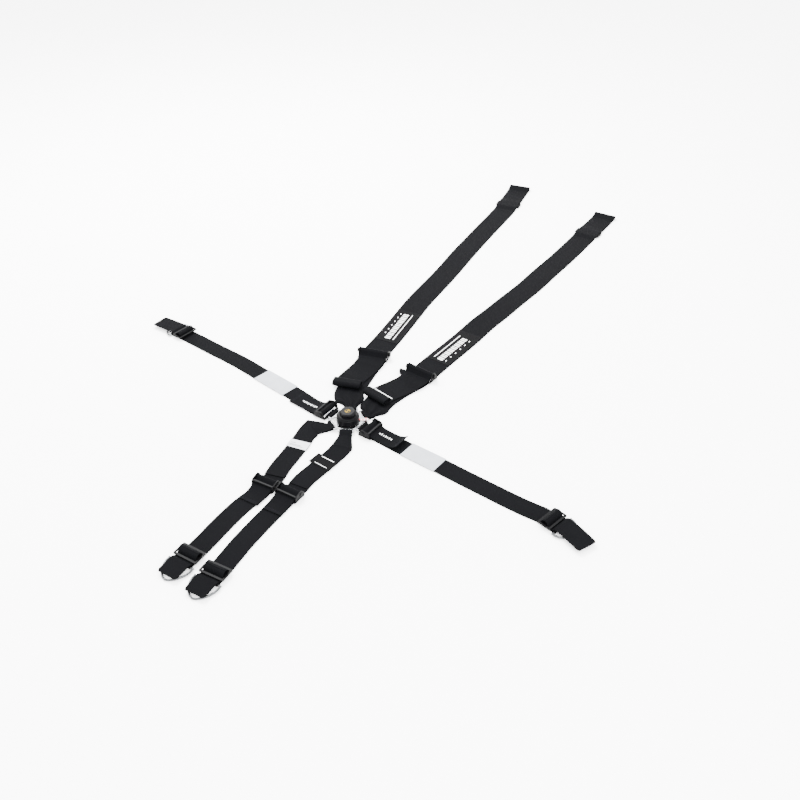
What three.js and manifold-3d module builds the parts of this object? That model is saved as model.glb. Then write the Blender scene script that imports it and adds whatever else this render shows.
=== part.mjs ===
// Six point racing harness with a rotary cam lock buckle, laid out flat on its back.
// Millimetres, +Z up. The origin is the middle of the buckle's back face.
// +Y points along the shoulder belts, and the lap belts lie along X.
// Each belt is drawn in a frame of its own: u runs along the belt away from the buckle,
// v runs across it and z is up.
import * as THREE from "three";
import { mergeVertices } from "three/addons/utils/BufferGeometryUtils.js";
import Module from "manifold-3d";

// Webbing
const SHOULDER_WEB = 75;
const WAIST_WEB = 50; // lap belts and crotch belts
const WEB_THICK = 1.8;
const GATHERED_WEB = 32; // webbing pleated together where it passes a tongue's slot
const GATHER_SHARE = 0.25; // of a lower strap's length, over which it spreads out again

// Clearances
const TOUCH_GAP = 0.3; // between pieces that lie on each other
const BAR_GAP = 0.4; // between webbing and the bar it runs round
const SIDE_PLAY = 1.5; // between webbing and the metal at its edges
const JOINT_GAP = 2.5; // where two nodes of one webbing meet and the adjuster tilts

const ARC_STEPS = 2; // facets on each quarter of a small corner or hole

// Buckle
const HOUSING_RADIUS = 28;
const BACK_RADIUS = HOUSING_RADIUS + 2;
const BACK_THICK = 2.5;
const HOUSING_WALL = 2.5;
const HOUSING_TOP = 22;
const HOUSING_ROOF = 1.8;
const BORE_RADIUS = 9; // hole in the housing's roof
const HUB_RADIUS = 7.5;
const HUB_BOTTOM = 8.9;
const LOBE_REACH = 14.5;
const LOBE_THICK = 1.2;
const KNOB_RADIUS = 20;
const KNOB_SIDES = 6;
const KNOB_BEVEL = 3.5;
const KNOB_BODY = 6;
const SKIRT_RADIUS = 25.5;
const SKIRT_THICK = 3;
const EMBLEM_RADIUS = 8.5;
const EMBLEM_THICK = 1.2;
const BOLT_RADIUS = 3;
const BOLT_HEAD_RADIUS = 6;
const BOLT_HEAD_THICK = 2.4;
const LATCH_INNER = 12;
const LATCH_OUTER = 24;
const LATCH_THICK = 2;
const LATCH_LIFT = 3; // drawn raised, with its pins just clear of the tongues
const LATCH_BOTTOM = 10.4 + LATCH_LIFT;
const PIN_BOTTOM = 5.4 + LATCH_LIFT;
const PIN_CIRCLE = 20; // radius of the ring of latch pins
const PIN_RADIUS = 3;
const SPRING_INNER = 14;
const SPRING_OUTER = 17.5;
const SLOT_ANGLES = [0, 60, 120, 180, 240, 300];
const LOBE_ANGLES = [30, 150, 270];
const LOBE_HALF = 3;
const RIM_CHAMFER = 2; // round the housing's top edge
const TAG_ANGLE = 30;
const TAG_WIDTH = 7;
const TAG_THICK = 0.8;
const TAG_WAVE = [[0, 11.5], [7.7, 9.6], [15.7, 12.5], [22.7, 9.6]]; // past the housing, z

// Tongues
const TONGUE_THICK = 3;
const TONGUE_BOTTOM = 5;
const TONGUE_TIP = 13.5; // distance from the buckle's axis
const TONGUE_TIP_HALF = 5.5;
const TONGUE_NECK_HALF = 9;
const TONGUE_NECK_START = 24;
const TONGUE_NECK_END = 31.5;
const TONGUE_EYE_MARGIN = 4;
const TONGUE_SLOT_START = 37.5;
const TONGUE_SLOT_LENGTH = 4.5;
const TONGUE_BAR = 4;
const PIN_HOLE_CLEARANCE = 0.6;

// Sewn eyes at a tongue's slot and at an adjuster's crossbar
const EYE_REACH = 16; // from the bar's far edge to where the doubled webbing lies flat
const EYE_OVERLAP = 2;
const EYE_CORNER = 1.2;
const EYE_SEAM = 1.5; // from the eye's pointed end to where its two sides are sewn

// Adjusters
const PLATE_THICK = 2.5;
const PLATE_BOTTOM = 2.2;
const PLATE_HALF_LENGTH = 19;
const CROSSBAR = 6;
const EAR_THICK = 2.5;
const EAR_WALL = 3; // ear left round the lock bar's hole
const EAR_FOOT = 2; // how much wider an ear is where it meets the plate
const EAR_SHOULDER = 5; // height of an ear's outer corner over the lock bar's middle
const LOCK_BAR_CLEARANCE = 0.5;
const shoulderBar = { u: 1, z: 15.5, radius: 5.5, overhang: 5 };
const SHOULDER_TURN_IN = PLATE_HALF_LENGTH - CROSSBAR - 1.5; // where the belt turns upwards
const SHOULDER_TURN_OUT = 14; // before it, where the tail has come down
const WAIST_BAR_BACK = 7.5; // from the inner crossbar's edge to a waist lock bar's middle
const waistBar = {
  u: CROSSBAR + WAIST_BAR_BACK - PLATE_HALF_LENGTH,
  z: 12.5,
  radius: 4.5,
  overhang: 1,
};
const GUIDE_BAR_START = 8; // waist adjusters: a fixed bar over the tail
const GUIDE_BAR_LENGTH = 5;
const GUIDE_BAR_BOTTOM = 12.5;
const GUIDE_BAR_THICK = 3.5;
const UNDER_GUIDE_BAR = [[3.5, 12], [10, 10], [17, 8]]; // webbing coming down to the tail
const TURN_LIFT = 2.1; // half of the webbing's height where it turns up to the lock bar
const TAIL_LIFT = 2; // how far above the belt the tail leaves the adjuster

// Three bar slides and anchor rings at the belts' ends
const SLIDE_HALF_LENGTH = 17;
const SLIDE_BAR = 5;
const SLIDE_MIDDLE_BAR = 7;
const SLIDE_SIDE = 4;
const SLIDE_THICK = 2.5;
const SLIDE_BOTTOM = 8;
const RING_ROD = 4.5;
const LAP_BOW = 34; // from a ring's straight bar to the far side of its bow
const SUB_BOW = 48;
const RING_BAR_U = 26; // from the slide's middle to the ring's straight bar
const RING_BAR_Z = 4.95;

// Belts: where each adjuster and end lies, in the part's frame
const ADJUSTER_REACH = 69; // lap adjusters: buckle axis to the adjuster's middle
const SUB_MIDDLE = 17; // line midway between the two crotch belts' adjusters
const SUB_SPREAD = WAIST_WEB / 2 + SIDE_PLAY + EAR_THICK + 3;
const belts = {
  shoulder_left: { slot: 120, web: SHOULDER_WEB, adjuster: [-112, 268], heading: 107 },
  shoulder_right: { slot: 60, web: SHOULDER_WEB, adjuster: [42, 264], heading: 87 },
  lap_left: { slot: 180, web: WAIST_WEB, adjuster: [-ADJUSTER_REACH, 0], heading: 180 },
  lap_right: { slot: 0, web: WAIST_WEB, adjuster: [ADJUSTER_REACH, 0], heading: 0 },
  sub_left: {
    slot: 240,
    web: WAIST_WEB,
    adjuster: [SUB_MIDDLE - SUB_SPREAD, -286],
    heading: 275,
  },
  sub_right: {
    slot: 300,
    web: WAIST_WEB,
    adjuster: [SUB_MIDDLE + SUB_SPREAD, -281],
    heading: 272,
  },
};
const SHOULDER_LEFT_ROUTE = [
  [-131, 362],
  [-155, 496],
  [-171, 583],
  [-193, 757],
  [-222, 946],
  [-242, 1093],
  [-255, 1200],
  [-268, 1302],
];
const SHOULDER_RIGHT_ROUTE = [
  [45, 359],
  [50, 492],
  [50, 578],
  [55, 664],
  [58, 750],
  [63, 854],
  [63, 958],
  [64, 1062],
  [63, 1180],
];
const SHOULDER_LEFT_END = [-312, 1507];
const SHOULDER_RIGHT_END = [55, 1456];
const SHOULDER_SLIDE_BACK = 160; // from the end loop back to the slide
const END_LOOP_RADIUS = 5.5; // where a shoulder belt goes round its anchor bar
const END_LOOP_LENGTH = 30; // from the end back to where its two layers meet
const SLIDE_RAMP = 22; // shoulder belt rising on to its slide, and coming down after it
const SLIDE_RAMP_DOWN = 28;
const SLIDE_CREST = 22; // half length of the belt that lies level over the slide
const LOWER_LEFT_ROUTE = [[-42, 68], [-64, 88], [-76, 118], [-90, 170], [-98, 205]];
const LOWER_RIGHT_ROUTE = [[26, 66], [20, 92], [19, 125], [25, 170], [34, 210]];
const UPPER_LEFT_FOLD = [-58, -66];
const UPPER_LEFT_ROUTE = [[-53, -100], [-44, -136], [-35, -180], [-28, -220]];
const UPPER_RIGHT_FOLD = [47, -86];
const UPPER_RIGHT_ROUTE = [[49, -112], [48, -150], [46, -190], [45, -225]];
const LAP_LEFT_ROUTE = [[-180, 15], [-290, 30], [-401, 45], [-511, 53], [-560, 57]];
const LAP_RIGHT_ROUTE = [[170, -6], [270, -12], [371, -19], [471, -25], [508, -26]];
const SUB_LEFT_ROUTE = [[-16, -369], [-10, -451], [-7, -475]];
const SUB_RIGHT_ROUTE = [[53, -367], [61, -452], [65, -478]];

// Side view in u and z of a waist belt at its slide: back from the ring's bar, up through
// the slide as a loose hump over its middle bar, and out again over the ring
const SLIDE_RETURN = [[19, 4.2], [14, 3.1], [-7, 3.1]];
const SLIDE_HUMP = [[-8, 6], [-9.5, 13], [-6.5, 17.6], [-1, 18.6], [4, 16.6], [7, 12.5], [8.5, 7]];
const FLAP_OVER_RING = [[14.5, 5.6], [18, 5.9], [20, 8.2], [25.5, 11.9], [34, 11.2]];
const FLAP_END_Z = 9.4;
const FLAP_CORNER = 9;
const SUB_END_MIDDLE = 35; // line midway between the two crotch belts' slides
const SUB_END_SPREAD = WAIST_WEB / 2 + SIDE_PLAY + RING_ROD + 7;
const ends = {
  lap_left: { slide: [-622, 61], heading: 177, bow: LAP_BOW, flap: 104, turn: 3 },
  lap_right: { slide: [566, -31], heading: -12, bow: LAP_BOW, flap: 104, turn: -9 },
  sub_left: {
    slide: [SUB_END_MIDDLE - SUB_END_SPREAD, -534],
    heading: 273,
    bow: SUB_BOW,
    flap: 70,
    turn: 0,
  },
  sub_right: {
    slide: [SUB_END_MIDDLE + SUB_END_SPREAD, -538],
    heading: 276,
    bow: SUB_BOW,
    flap: 70,
    turn: 0,
  },
};
const TAIL_ROLL = 9; // radius of the roll sewn at a shoulder tail's end
const ROLL_STEP = 3.2; // from one turn of the roll to the next
const TAIL_DROP_START = 6; // a shoulder tail comes down from the adjuster to the belt
const TAIL_DROP_END = 20;
const tails = {
  shoulder_left: { heading: 95.6, length: 116 },
  shoulder_right: { heading: 73, length: 116 },
  lap_left: { heading: 175, length: 70, curl: 0 },
  lap_right: { heading: -2, length: 62, curl: 12 },
  sub_left: { heading: 273, length: 34, curl: 0 },
  sub_right: { heading: 275, length: 34, curl: 0 },
};

const wasm = await Module();
wasm.setup();

const webbing = { color: 0x17181b, roughness: 0.85, metalness: 0 };
const blackSteel = { color: 0x1c1d20, roughness: 0.38, metalness: 0.9 };
const brightSteel = { color: 0xc9ccd0, roughness: 0.18, metalness: 1 };
const blackPlastic = { color: 0x141518, roughness: 0.4, metalness: 0.1 };

const harness = new THREE.Group();

// Helpers

const radians = THREE.MathUtils.degToRad;
const eyeHeight = BAR_GAP + WEB_THICK;

function addPiece(parent, name, geometry, finish) {
  const mesh = new THREE.Mesh(geometry, new THREE.MeshStandardMaterial(finish));
  mesh.name = name;
  parent.add(mesh);
  return mesh;
}

// A frame at a point of the surface, turned so that u follows the heading.
function frameAt([x, y], heading) {
  const frame = new THREE.Group();
  frame.position.set(x, y, 0);
  frame.rotation.z = radians(heading);
  frame.updateMatrix();
  harness.add(frame);
  return frame;
}

function toSolid(geometry, matrix = new THREE.Matrix4()) {
  const bare = geometry.index ? geometry.toNonIndexed() : geometry.clone();
  bare.deleteAttribute("normal");
  bare.deleteAttribute("uv");
  const merged = mergeVertices(bare.applyMatrix4(matrix), 1e-4);
  return new wasm.Manifold(
    new wasm.Mesh({
      numProp: 3,
      vertProperties: merged.attributes.position.array,
      triVerts: new Uint32Array(merged.index.array),
    }),
  );
}

function toGeometry(solid) {
  const mesh = solid.getMesh();
  const geometry = new THREE.BufferGeometry();
  geometry.setAttribute("position", new THREE.BufferAttribute(mesh.vertProperties, 3));
  geometry.setIndex(new THREE.BufferAttribute(mesh.triVerts, 1));
  const flat = geometry.toNonIndexed();
  flat.computeVertexNormals();
  return flat;
}

// A flat outline raised from z = bottom.
function plate(shape, bottom, thick, bevel = {}) {
  const options = { depth: thick, bevelEnabled: false, curveSegments: ARC_STEPS, ...bevel };
  const geometry = new THREE.ExtrudeGeometry(shape, options);
  geometry.translate(0, 0, bottom);
  return geometry;
}

// A side view in u and z, extruded across the belt and centred on it.
function acrossBelt(shape, width) {
  const options = { depth: width, bevelEnabled: false, curveSegments: ARC_STEPS };
  const geometry = new THREE.ExtrudeGeometry(shape, options);
  geometry.translate(0, 0, -width / 2);
  geometry.rotateX(Math.PI / 2);
  return geometry;
}

function revolved(points, segments = 36) {
  const profile = points.map(([r, z]) => new THREE.Vector2(r, z));
  const geometry = new THREE.LatheGeometry([...profile, profile[0]], segments);
  geometry.rotateX(Math.PI / 2);
  return geometry;
}

function upright(radius, bottom, top, sides = 16) {
  const geometry = new THREE.CylinderGeometry(radius, radius, top - bottom, sides);
  geometry.rotateX(Math.PI / 2);
  geometry.translate(0, 0, (top + bottom) / 2);
  return geometry;
}

function roundedRectangle(u0, u1, halfWidth, corner) {
  const shape = new THREE.Shape();
  shape.moveTo(u0 + corner, -halfWidth);
  shape.lineTo(u1 - corner, -halfWidth);
  shape.absarc(u1 - corner, -halfWidth + corner, corner, -Math.PI / 2, 0);
  shape.absarc(u1 - corner, halfWidth - corner, corner, 0, Math.PI / 2);
  shape.absarc(u0 + corner, halfWidth - corner, corner, Math.PI / 2, Math.PI);
  shape.absarc(u0 + corner, -halfWidth + corner, corner, Math.PI, 1.5 * Math.PI);
  return shape;
}

function circlePath(u, z, radius) {
  const path = new THREE.Path();
  for (let quarter = 0; quarter > -4; quarter--) {
    const from = (quarter * Math.PI) / 2;
    path.absarc(u, z, radius, from, from - Math.PI / 2, true);
  }
  return path;
}

// Points on an arc, in degrees, running from one angle to another.
function arcPoints(u, z, radius, from, to, steps) {
  return Array.from({ length: steps + 1 }, (_, i) => {
    const angle = radians(from + ((to - from) * i) / steps);
    return [u + radius * Math.cos(angle), z + radius * Math.sin(angle)];
  });
}

// The outline of a band of even thickness along a line of points, with mitred corners.
function bandOutline(points, thickness) {
  const line = points.map(([a, b]) => new THREE.Vector2(a, b));
  const normalOf = (from, to) => {
    const along = to.clone().sub(from).normalize();
    return new THREE.Vector2(-along.y, along.x);
  };
  const sides = line.map((point, i) => {
    const into = normalOf(line[Math.max(i - 1, 0)], line[Math.max(i, 1)]);
    const last = line.length - 1;
    const out = normalOf(line[Math.min(i, last - 1)], line[Math.min(i + 1, last)]);
    const mitre = into.clone().add(out).normalize();
    mitre.multiplyScalar(thickness / 2 / mitre.dot(into));
    return [point.clone().add(mitre), point.clone().sub(mitre)];
  });
  const left = sides.map(([a]) => a);
  const right = sides.map(([, b]) => b).reverse();
  return new THREE.Shape([...left, ...right]);
}

// A strip of webbing lying flat along a smooth line. It widens over its gathered start.
function flatStrip(route, startWidth, endWidth, thick, steps = 14) {
  const knots = route.map(([x, y]) => new THREE.Vector3(x, y, 0));
  const curve = new THREE.CatmullRomCurve3(knots, false, "centripetal");
  const left = [];
  const right = [];
  for (let i = 0; i <= steps; i++) {
    const share = i / steps;
    const point = curve.getPointAt(share);
    const along = curve.getTangentAt(share);
    const widening = THREE.MathUtils.smoothstep(share, 0, GATHER_SHARE);
    const half = THREE.MathUtils.lerp(startWidth, endWidth, widening) / 2;
    left.push(new THREE.Vector2(point.x - along.y * half, point.y + along.x * half));
    right.push(new THREE.Vector2(point.x + along.y * half, point.y - along.x * half));
  }
  return plate(new THREE.Shape([...left, ...right.reverse()]), 0, thick);
}

// A strip that turns at a folded corner, so that its outline is mitred there.
function foldedStrip(route, widths, thick) {
  const line = route.map(([x, y]) => new THREE.Vector2(x, y));
  const left = [];
  const right = [];
  line.forEach((point, i) => {
    const before = line[Math.max(i - 1, 0)];
    const after = line[Math.min(i + 1, line.length - 1)];
    const into = (i ? point.clone().sub(before) : after.clone().sub(point)).normalize();
    const out = (i < line.length - 1 ? after.clone().sub(point) : into.clone()).normalize();
    const normal = new THREE.Vector2(-into.y, into.x);
    const mitre = normal.clone().add(new THREE.Vector2(-out.y, out.x)).normalize();
    mitre.multiplyScalar(widths[i] / 2 / mitre.dot(normal));
    left.push(point.clone().add(mitre));
    right.push(point.clone().sub(mitre));
  });
  return plate(new THREE.Shape([...left, ...right.reverse()]), 0, thick);
}

// Side view of doubled webbing sewn round a bar. The bar's far edge is at u = 0 and the
// doubled webbing leaves towards +u, lying on the surface from u = reach.
function eyeOutline(barLength, barZ, barThick, reach, end) {
  const hole = barThick / 2 + BAR_GAP;
  const outside = hole + WEB_THICK;
  const start = -BAR_GAP - WEB_THICK;
  const round = EYE_CORNER;
  const shape = new THREE.Shape();
  shape.moveTo(start + round, barZ - outside);
  shape.lineTo(barLength + BAR_GAP, barZ - outside);
  shape.lineTo(reach, 0);
  shape.lineTo(end, 0);
  shape.lineTo(end, 2 * WEB_THICK);
  shape.lineTo(reach, 2 * WEB_THICK);
  shape.lineTo(barLength + BAR_GAP, barZ + outside);
  shape.lineTo(start + round, barZ + outside);
  shape.lineTo(start, barZ + outside - round);
  shape.lineTo(start, barZ - outside + round);
  const tunnel = new THREE.Path();
  tunnel.moveTo(-BAR_GAP, barZ - hole);
  tunnel.lineTo(barLength + BAR_GAP, barZ - hole);
  tunnel.lineTo(reach - EYE_SEAM, WEB_THICK);
  tunnel.lineTo(barLength + BAR_GAP, barZ + hole);
  tunnel.lineTo(-BAR_GAP, barZ + hole);
  shape.holes.push(tunnel);
  return shape;
}

// Buckle

function buckle() {
  const backPlate = revolved([
    [0, 0],
    [BACK_RADIUS - 1, 0],
    [BACK_RADIUS, 1],
    [BACK_RADIUS, BACK_THICK],
    [0, BACK_THICK],
  ]);
  addPiece(harness, "buckle_back_plate", backPlate, blackSteel);

  const wall = HOUSING_RADIUS - HOUSING_WALL;
  const housingFoot = BACK_THICK + TOUCH_GAP;
  const roofUnder = HOUSING_TOP - HOUSING_ROOF;
  let housing = toSolid(
    revolved([
      [wall, housingFoot],
      [HOUSING_RADIUS, housingFoot],
      [HOUSING_RADIUS, HOUSING_TOP - RIM_CHAMFER],
      [HOUSING_RADIUS - RIM_CHAMFER, HOUSING_TOP],
      [BORE_RADIUS, HOUSING_TOP],
      [BORE_RADIUS, roofUnder],
      [wall, roofUnder],
    ]),
  );
  const windowHalf = TONGUE_NECK_HALF + SIDE_PLAY;
  const windowBottom = TONGUE_BOTTOM - BAR_GAP;
  const windowTop = TONGUE_BOTTOM + TONGUE_THICK + BAR_GAP;
  for (const angle of SLOT_ANGLES) {
    const opening = plate(
      roundedRectangle(HUB_RADIUS + LATCH_INNER, HOUSING_RADIUS + 2, windowHalf, 0.5),
      windowBottom,
      windowTop - windowBottom,
    );
    const turn = new THREE.Matrix4().makeRotationZ(radians(angle));
    housing = housing.subtract(toSolid(opening, turn));
  }
  addPiece(harness, "buckle_housing", toGeometry(housing), blackPlastic);

  let latch = toSolid(
    revolved([
      [LATCH_INNER, LATCH_BOTTOM],
      [LATCH_OUTER, LATCH_BOTTOM],
      [LATCH_OUTER, LATCH_BOTTOM + LATCH_THICK],
      [LATCH_INNER, LATCH_BOTTOM + LATCH_THICK],
    ]),
  );
  for (const angle of SLOT_ANGLES) {
    const pin = upright(PIN_RADIUS, PIN_BOTTOM, LATCH_BOTTOM + LATCH_THICK / 2);
    pin.translate(PIN_CIRCLE, 0, 0);
    const turn = new THREE.Matrix4().makeRotationZ(radians(angle));
    latch = latch.add(toSolid(pin, turn));
  }
  addPiece(harness, "latch_plate", toGeometry(latch), brightSteel);

  const spring = revolved(
    [
      [SPRING_INNER, LATCH_BOTTOM + LATCH_THICK + TOUCH_GAP],
      [SPRING_OUTER, LATCH_BOTTOM + LATCH_THICK + TOUCH_GAP],
      [SPRING_OUTER, roofUnder - TOUCH_GAP],
      [SPRING_INNER, roofUnder - TOUCH_GAP],
    ],
    24,
  );
  addPiece(harness, "latch_spring", spring, brightSteel);

  knob();
}

function knob() {
  const skirtBottom = HOUSING_TOP + TOUCH_GAP;
  const skirtTop = skirtBottom + SKIRT_THICK;
  const knobTop = skirtTop + KNOB_BODY + KNOB_BEVEL;
  const recessBottom = knobTop - EMBLEM_THICK - TOUCH_GAP;
  const headTop = recessBottom - TOUCH_GAP;
  const headBottom = headTop - BOLT_HEAD_THICK;

  const sides = new THREE.Shape();
  for (let i = 0; i < KNOB_SIDES; i++) {
    const step = (2 * Math.PI) / KNOB_SIDES;
    const flat = 0.36 * step; // half of each grip face, the rest is a chamfer
    for (const angle of [i * step - flat, i * step + flat]) {
      const point = [KNOB_RADIUS * Math.cos(angle), KNOB_RADIUS * Math.sin(angle)];
      if (sides.curves.length || sides.currentPoint.length()) sides.lineTo(...point);
      else sides.moveTo(...point);
    }
  }
  const bevel = {
    bevelEnabled: true,
    bevelThickness: KNOB_BEVEL,
    bevelSize: KNOB_BEVEL,
    bevelOffset: -KNOB_BEVEL,
    bevelSegments: 2,
  };
  let body = toSolid(plate(sides, skirtTop - TOUCH_GAP, KNOB_BODY + TOUCH_GAP, bevel));
  const foot = revolved([
    [0, skirtBottom],
    [SKIRT_RADIUS, skirtBottom],
    [SKIRT_RADIUS, skirtBottom + 1],
    [SKIRT_RADIUS - 3, skirtTop],
    [0, skirtTop],
  ]);
  body = body.add(toSolid(foot));
  body = body.subtract(toSolid(upright(2 * SKIRT_RADIUS, 0, skirtBottom, 4)));
  body = body.add(toSolid(upright(HUB_RADIUS, HUB_BOTTOM, skirtTop, 24)));
  for (const angle of LOBE_ANGLES) {
    const outline = roundedRectangle(0, LOBE_REACH, LOBE_HALF, LOBE_HALF - 1);
    const lobe = plate(outline, HUB_BOTTOM, LOBE_THICK);
    const turn = new THREE.Matrix4().makeRotationZ(radians(angle));
    body = body.add(toSolid(lobe, turn));
  }
  const bore = BOLT_RADIUS + BAR_GAP;
  body = body.subtract(toSolid(upright(bore, HUB_BOTTOM - 1, knobTop + 1)));
  const headBore = BOLT_HEAD_RADIUS + BAR_GAP;
  body = body.subtract(toSolid(upright(headBore, headBottom - TOUCH_GAP, knobTop + 1, 24)));
  const recess = EMBLEM_RADIUS + BAR_GAP;
  body = body.subtract(toSolid(upright(recess, recessBottom, knobTop + 1, 24)));
  addPiece(harness, "release_knob", toGeometry(body), blackPlastic);

  const bolt = revolved(
    [
      [0, BACK_THICK + TOUCH_GAP],
      [BOLT_RADIUS, BACK_THICK + TOUCH_GAP],
      [BOLT_RADIUS, headBottom],
      [BOLT_HEAD_RADIUS, headBottom],
      [BOLT_HEAD_RADIUS, headTop],
      [0, headTop],
    ],
    20,
  );
  addPiece(harness, "centre_bolt", bolt, brightSteel);

  const emblem = upright(EMBLEM_RADIUS, knobTop - EMBLEM_THICK, knobTop, 24);
  const gold = { color: 0xc9a51e, roughness: 0.35, metalness: 0.3 };
  addPiece(harness, "knob_emblem", emblem, gold);
}

// A small tag of red and white ribbon on the housing's side, between the right shoulder
// tongue and the right lap tongue. It waves up and down as it lies.
function careTag() {
  const tag = frameAt([0, 0], TAG_ANGLE);
  const line = TAG_WAVE.map(([past, z]) => [HOUSING_RADIUS + TOUCH_GAP + past, z]);
  const finish = { color: 0xd9d4d2, roughness: 0.8, metalness: 0 };
  addPiece(tag, "care_tag", acrossBelt(bandOutline(line, TAG_THICK), TAG_WIDTH), finish);
}

function tongue(name, { slot }) {
  const barEnd = TONGUE_SLOT_START + TONGUE_SLOT_LENGTH + TONGUE_BAR;
  const slotHalf = GATHERED_WEB / 2 + 1;
  const outerHalf = slotHalf + TONGUE_EYE_MARGIN;
  const corner = 3;
  const outline = new THREE.Shape();
  outline.moveTo(TONGUE_TIP, -TONGUE_TIP_HALF);
  outline.lineTo(TONGUE_NECK_START, -TONGUE_NECK_HALF);
  outline.lineTo(TONGUE_NECK_END, -TONGUE_NECK_HALF);
  outline.lineTo(TONGUE_SLOT_START, -outerHalf + 1);
  outline.lineTo(barEnd - corner, -outerHalf);
  outline.absarc(barEnd - corner, -outerHalf + corner, corner, -Math.PI / 2, 0);
  outline.absarc(barEnd - corner, outerHalf - corner, corner, 0, Math.PI / 2);
  outline.lineTo(TONGUE_SLOT_START, outerHalf - 1);
  outline.lineTo(TONGUE_NECK_END, TONGUE_NECK_HALF);
  outline.lineTo(TONGUE_NECK_START, TONGUE_NECK_HALF);
  outline.lineTo(TONGUE_TIP, TONGUE_TIP_HALF);
  const slotEnd = TONGUE_SLOT_START + TONGUE_SLOT_LENGTH;
  outline.holes.push(roundedRectangle(TONGUE_SLOT_START, slotEnd, slotHalf, 1));
  outline.holes.push(circlePath(PIN_CIRCLE, 0, PIN_RADIUS + PIN_HOLE_CLEARANCE));
  const blade = plate(outline, TONGUE_BOTTOM, TONGUE_THICK);
  addPiece(frameAt([0, 0], slot), name + "_tongue", blade, brightSteel);
}

// Where a belt's next length starts beyond the webbing that its adjuster holds, clear of
// it when the two lie at different headings. side is 1 outwards and -1 towards the buckle.
function seamPoint(belt, heading, side) {
  const askew = Math.abs(Math.sin(radians(heading - belt.heading)));
  const reach = TURN_END + JOINT_GAP + (belt.web / 2) * askew;
  return along(belt.adjuster, belt.heading, side * reach);
}

function headingTo(from, to) {
  return THREE.MathUtils.radToDeg(Math.atan2(to[1] - from[1], to[0] - from[0]));
}

const tongueBarStart = TONGUE_SLOT_START + TONGUE_SLOT_LENGTH;
const tongueMiddle = TONGUE_BOTTOM + TONGUE_THICK / 2;
const plateMiddle = PLATE_BOTTOM + PLATE_THICK / 2;

// Point at a distance along a heading.
function along([x, y], heading, distance) {
  const angle = radians(heading);
  return [x + distance * Math.cos(angle), y + distance * Math.sin(angle)];
}

// Doubled webbing sewn from a tongue's slot to an adjuster's inner crossbar. A crotch
// belt is folded over at a corner on the way.
function connector(name, belt, route, fold) {
  const start = along([0, 0], belt.slot, tongueBarStart);
  const end = along(belt.adjuster, belt.heading, CROSSBAR - PLATE_HALF_LENGTH);
  const tongueEye = acrossBelt(
    eyeOutline(TONGUE_BAR, tongueMiddle, TONGUE_THICK, EYE_REACH, EYE_REACH + EYE_OVERLAP),
    GATHERED_WEB,
  );
  const frameEye = acrossBelt(
    eyeOutline(CROSSBAR, plateMiddle, PLATE_THICK, EYE_REACH, EYE_REACH + EYE_OVERLAP),
    belt.web,
  );
  const stripStart = along(start, belt.slot, EYE_REACH);
  const stripEnd = along(end, belt.heading, -EYE_REACH);
  const thick = 2 * WEB_THICK;
  let solid = toSolid(tongueEye, placed(start, belt.slot));
  solid = solid.add(toSolid(frameEye, placed(end, belt.heading + 180)));
  if (fold) {
    const corner = [stripStart, fold, route[0]];
    const strip = foldedStrip(corner, [GATHERED_WEB, belt.web, belt.web], thick);
    const rest = flatStrip([...route, stripEnd], belt.web, belt.web, thick);
    solid = solid.add(toSolid(strip)).add(toSolid(rest));
  } else {
    const strip = flatStrip([stripStart, ...route, stripEnd], GATHERED_WEB, belt.web, thick);
    solid = solid.add(toSolid(strip));
  }
  return addPiece(harness, name, toGeometry(solid), webbing);
}

function placed([x, y], heading) {
  const move = new THREE.Matrix4().makeTranslation(x, y, 0);
  return move.multiply(new THREE.Matrix4().makeRotationZ(radians(heading)));
}

// A lap tongue's link: one short doubled loop between tongue bar and adjuster crossbar.
function lapLink(name, belt) {
  const inner = ADJUSTER_REACH - PLATE_HALF_LENGTH + CROSSBAR;
  const lower = tongueMiddle - TONGUE_THICK / 2 - BAR_GAP - WEB_THICK / 2;
  const upper = tongueMiddle + TONGUE_THICK / 2 + BAR_GAP + WEB_THICK / 2;
  const frameLower = plateMiddle - PLATE_THICK / 2 - BAR_GAP - WEB_THICK / 2;
  const frameUpper = plateMiddle + PLATE_THICK / 2 + BAR_GAP + WEB_THICK / 2;
  const left = tongueBarStart - eyeHeight + WEB_THICK / 2;
  const right = inner + eyeHeight - WEB_THICK / 2;
  const frameStart = inner - CROSSBAR - BAR_GAP;
  const half = WEB_THICK / 2;
  const outline = new THREE.Shape();
  outline.moveTo(left - half, lower - half);
  outline.lineTo(tongueBarStart + TONGUE_BAR, lower - half);
  outline.lineTo(frameStart, frameLower - half);
  outline.lineTo(right + half, frameLower - half);
  outline.lineTo(right + half, frameUpper + half);
  outline.lineTo(frameStart, frameUpper + half);
  outline.lineTo(tongueBarStart + TONGUE_BAR, upper + half);
  outline.lineTo(left - half, upper + half);
  const tunnel = new THREE.Path();
  tunnel.moveTo(left + half, lower + half);
  tunnel.lineTo(tongueBarStart + TONGUE_BAR, lower + half);
  tunnel.lineTo(frameStart, frameLower + half);
  tunnel.lineTo(right - half, frameLower + half);
  tunnel.lineTo(right - half, frameUpper - half);
  tunnel.lineTo(frameStart, frameUpper - half);
  tunnel.lineTo(tongueBarStart + TONGUE_BAR, upper - half);
  tunnel.lineTo(left + half, upper - half);
  outline.holes.push(tunnel);
  const frame = frameAt([0, 0], belt.slot);
  addPiece(frame, name + "_link", acrossBelt(outline, GATHERED_WEB), webbing);
}

// Adjusters

const floorLayer = WEB_THICK / 2;
const secondLayer = WEB_THICK + TOUCH_GAP + WEB_THICK / 2;
const onDoubled = 2 * WEB_THICK + TOUCH_GAP + WEB_THICK / 2;
const overEye = plateMiddle + PLATE_THICK / 2 + eyeHeight + TOUCH_GAP + WEB_THICK / 2;
const TURN_END = 27; // half length of the webbing that an adjuster holds

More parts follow.
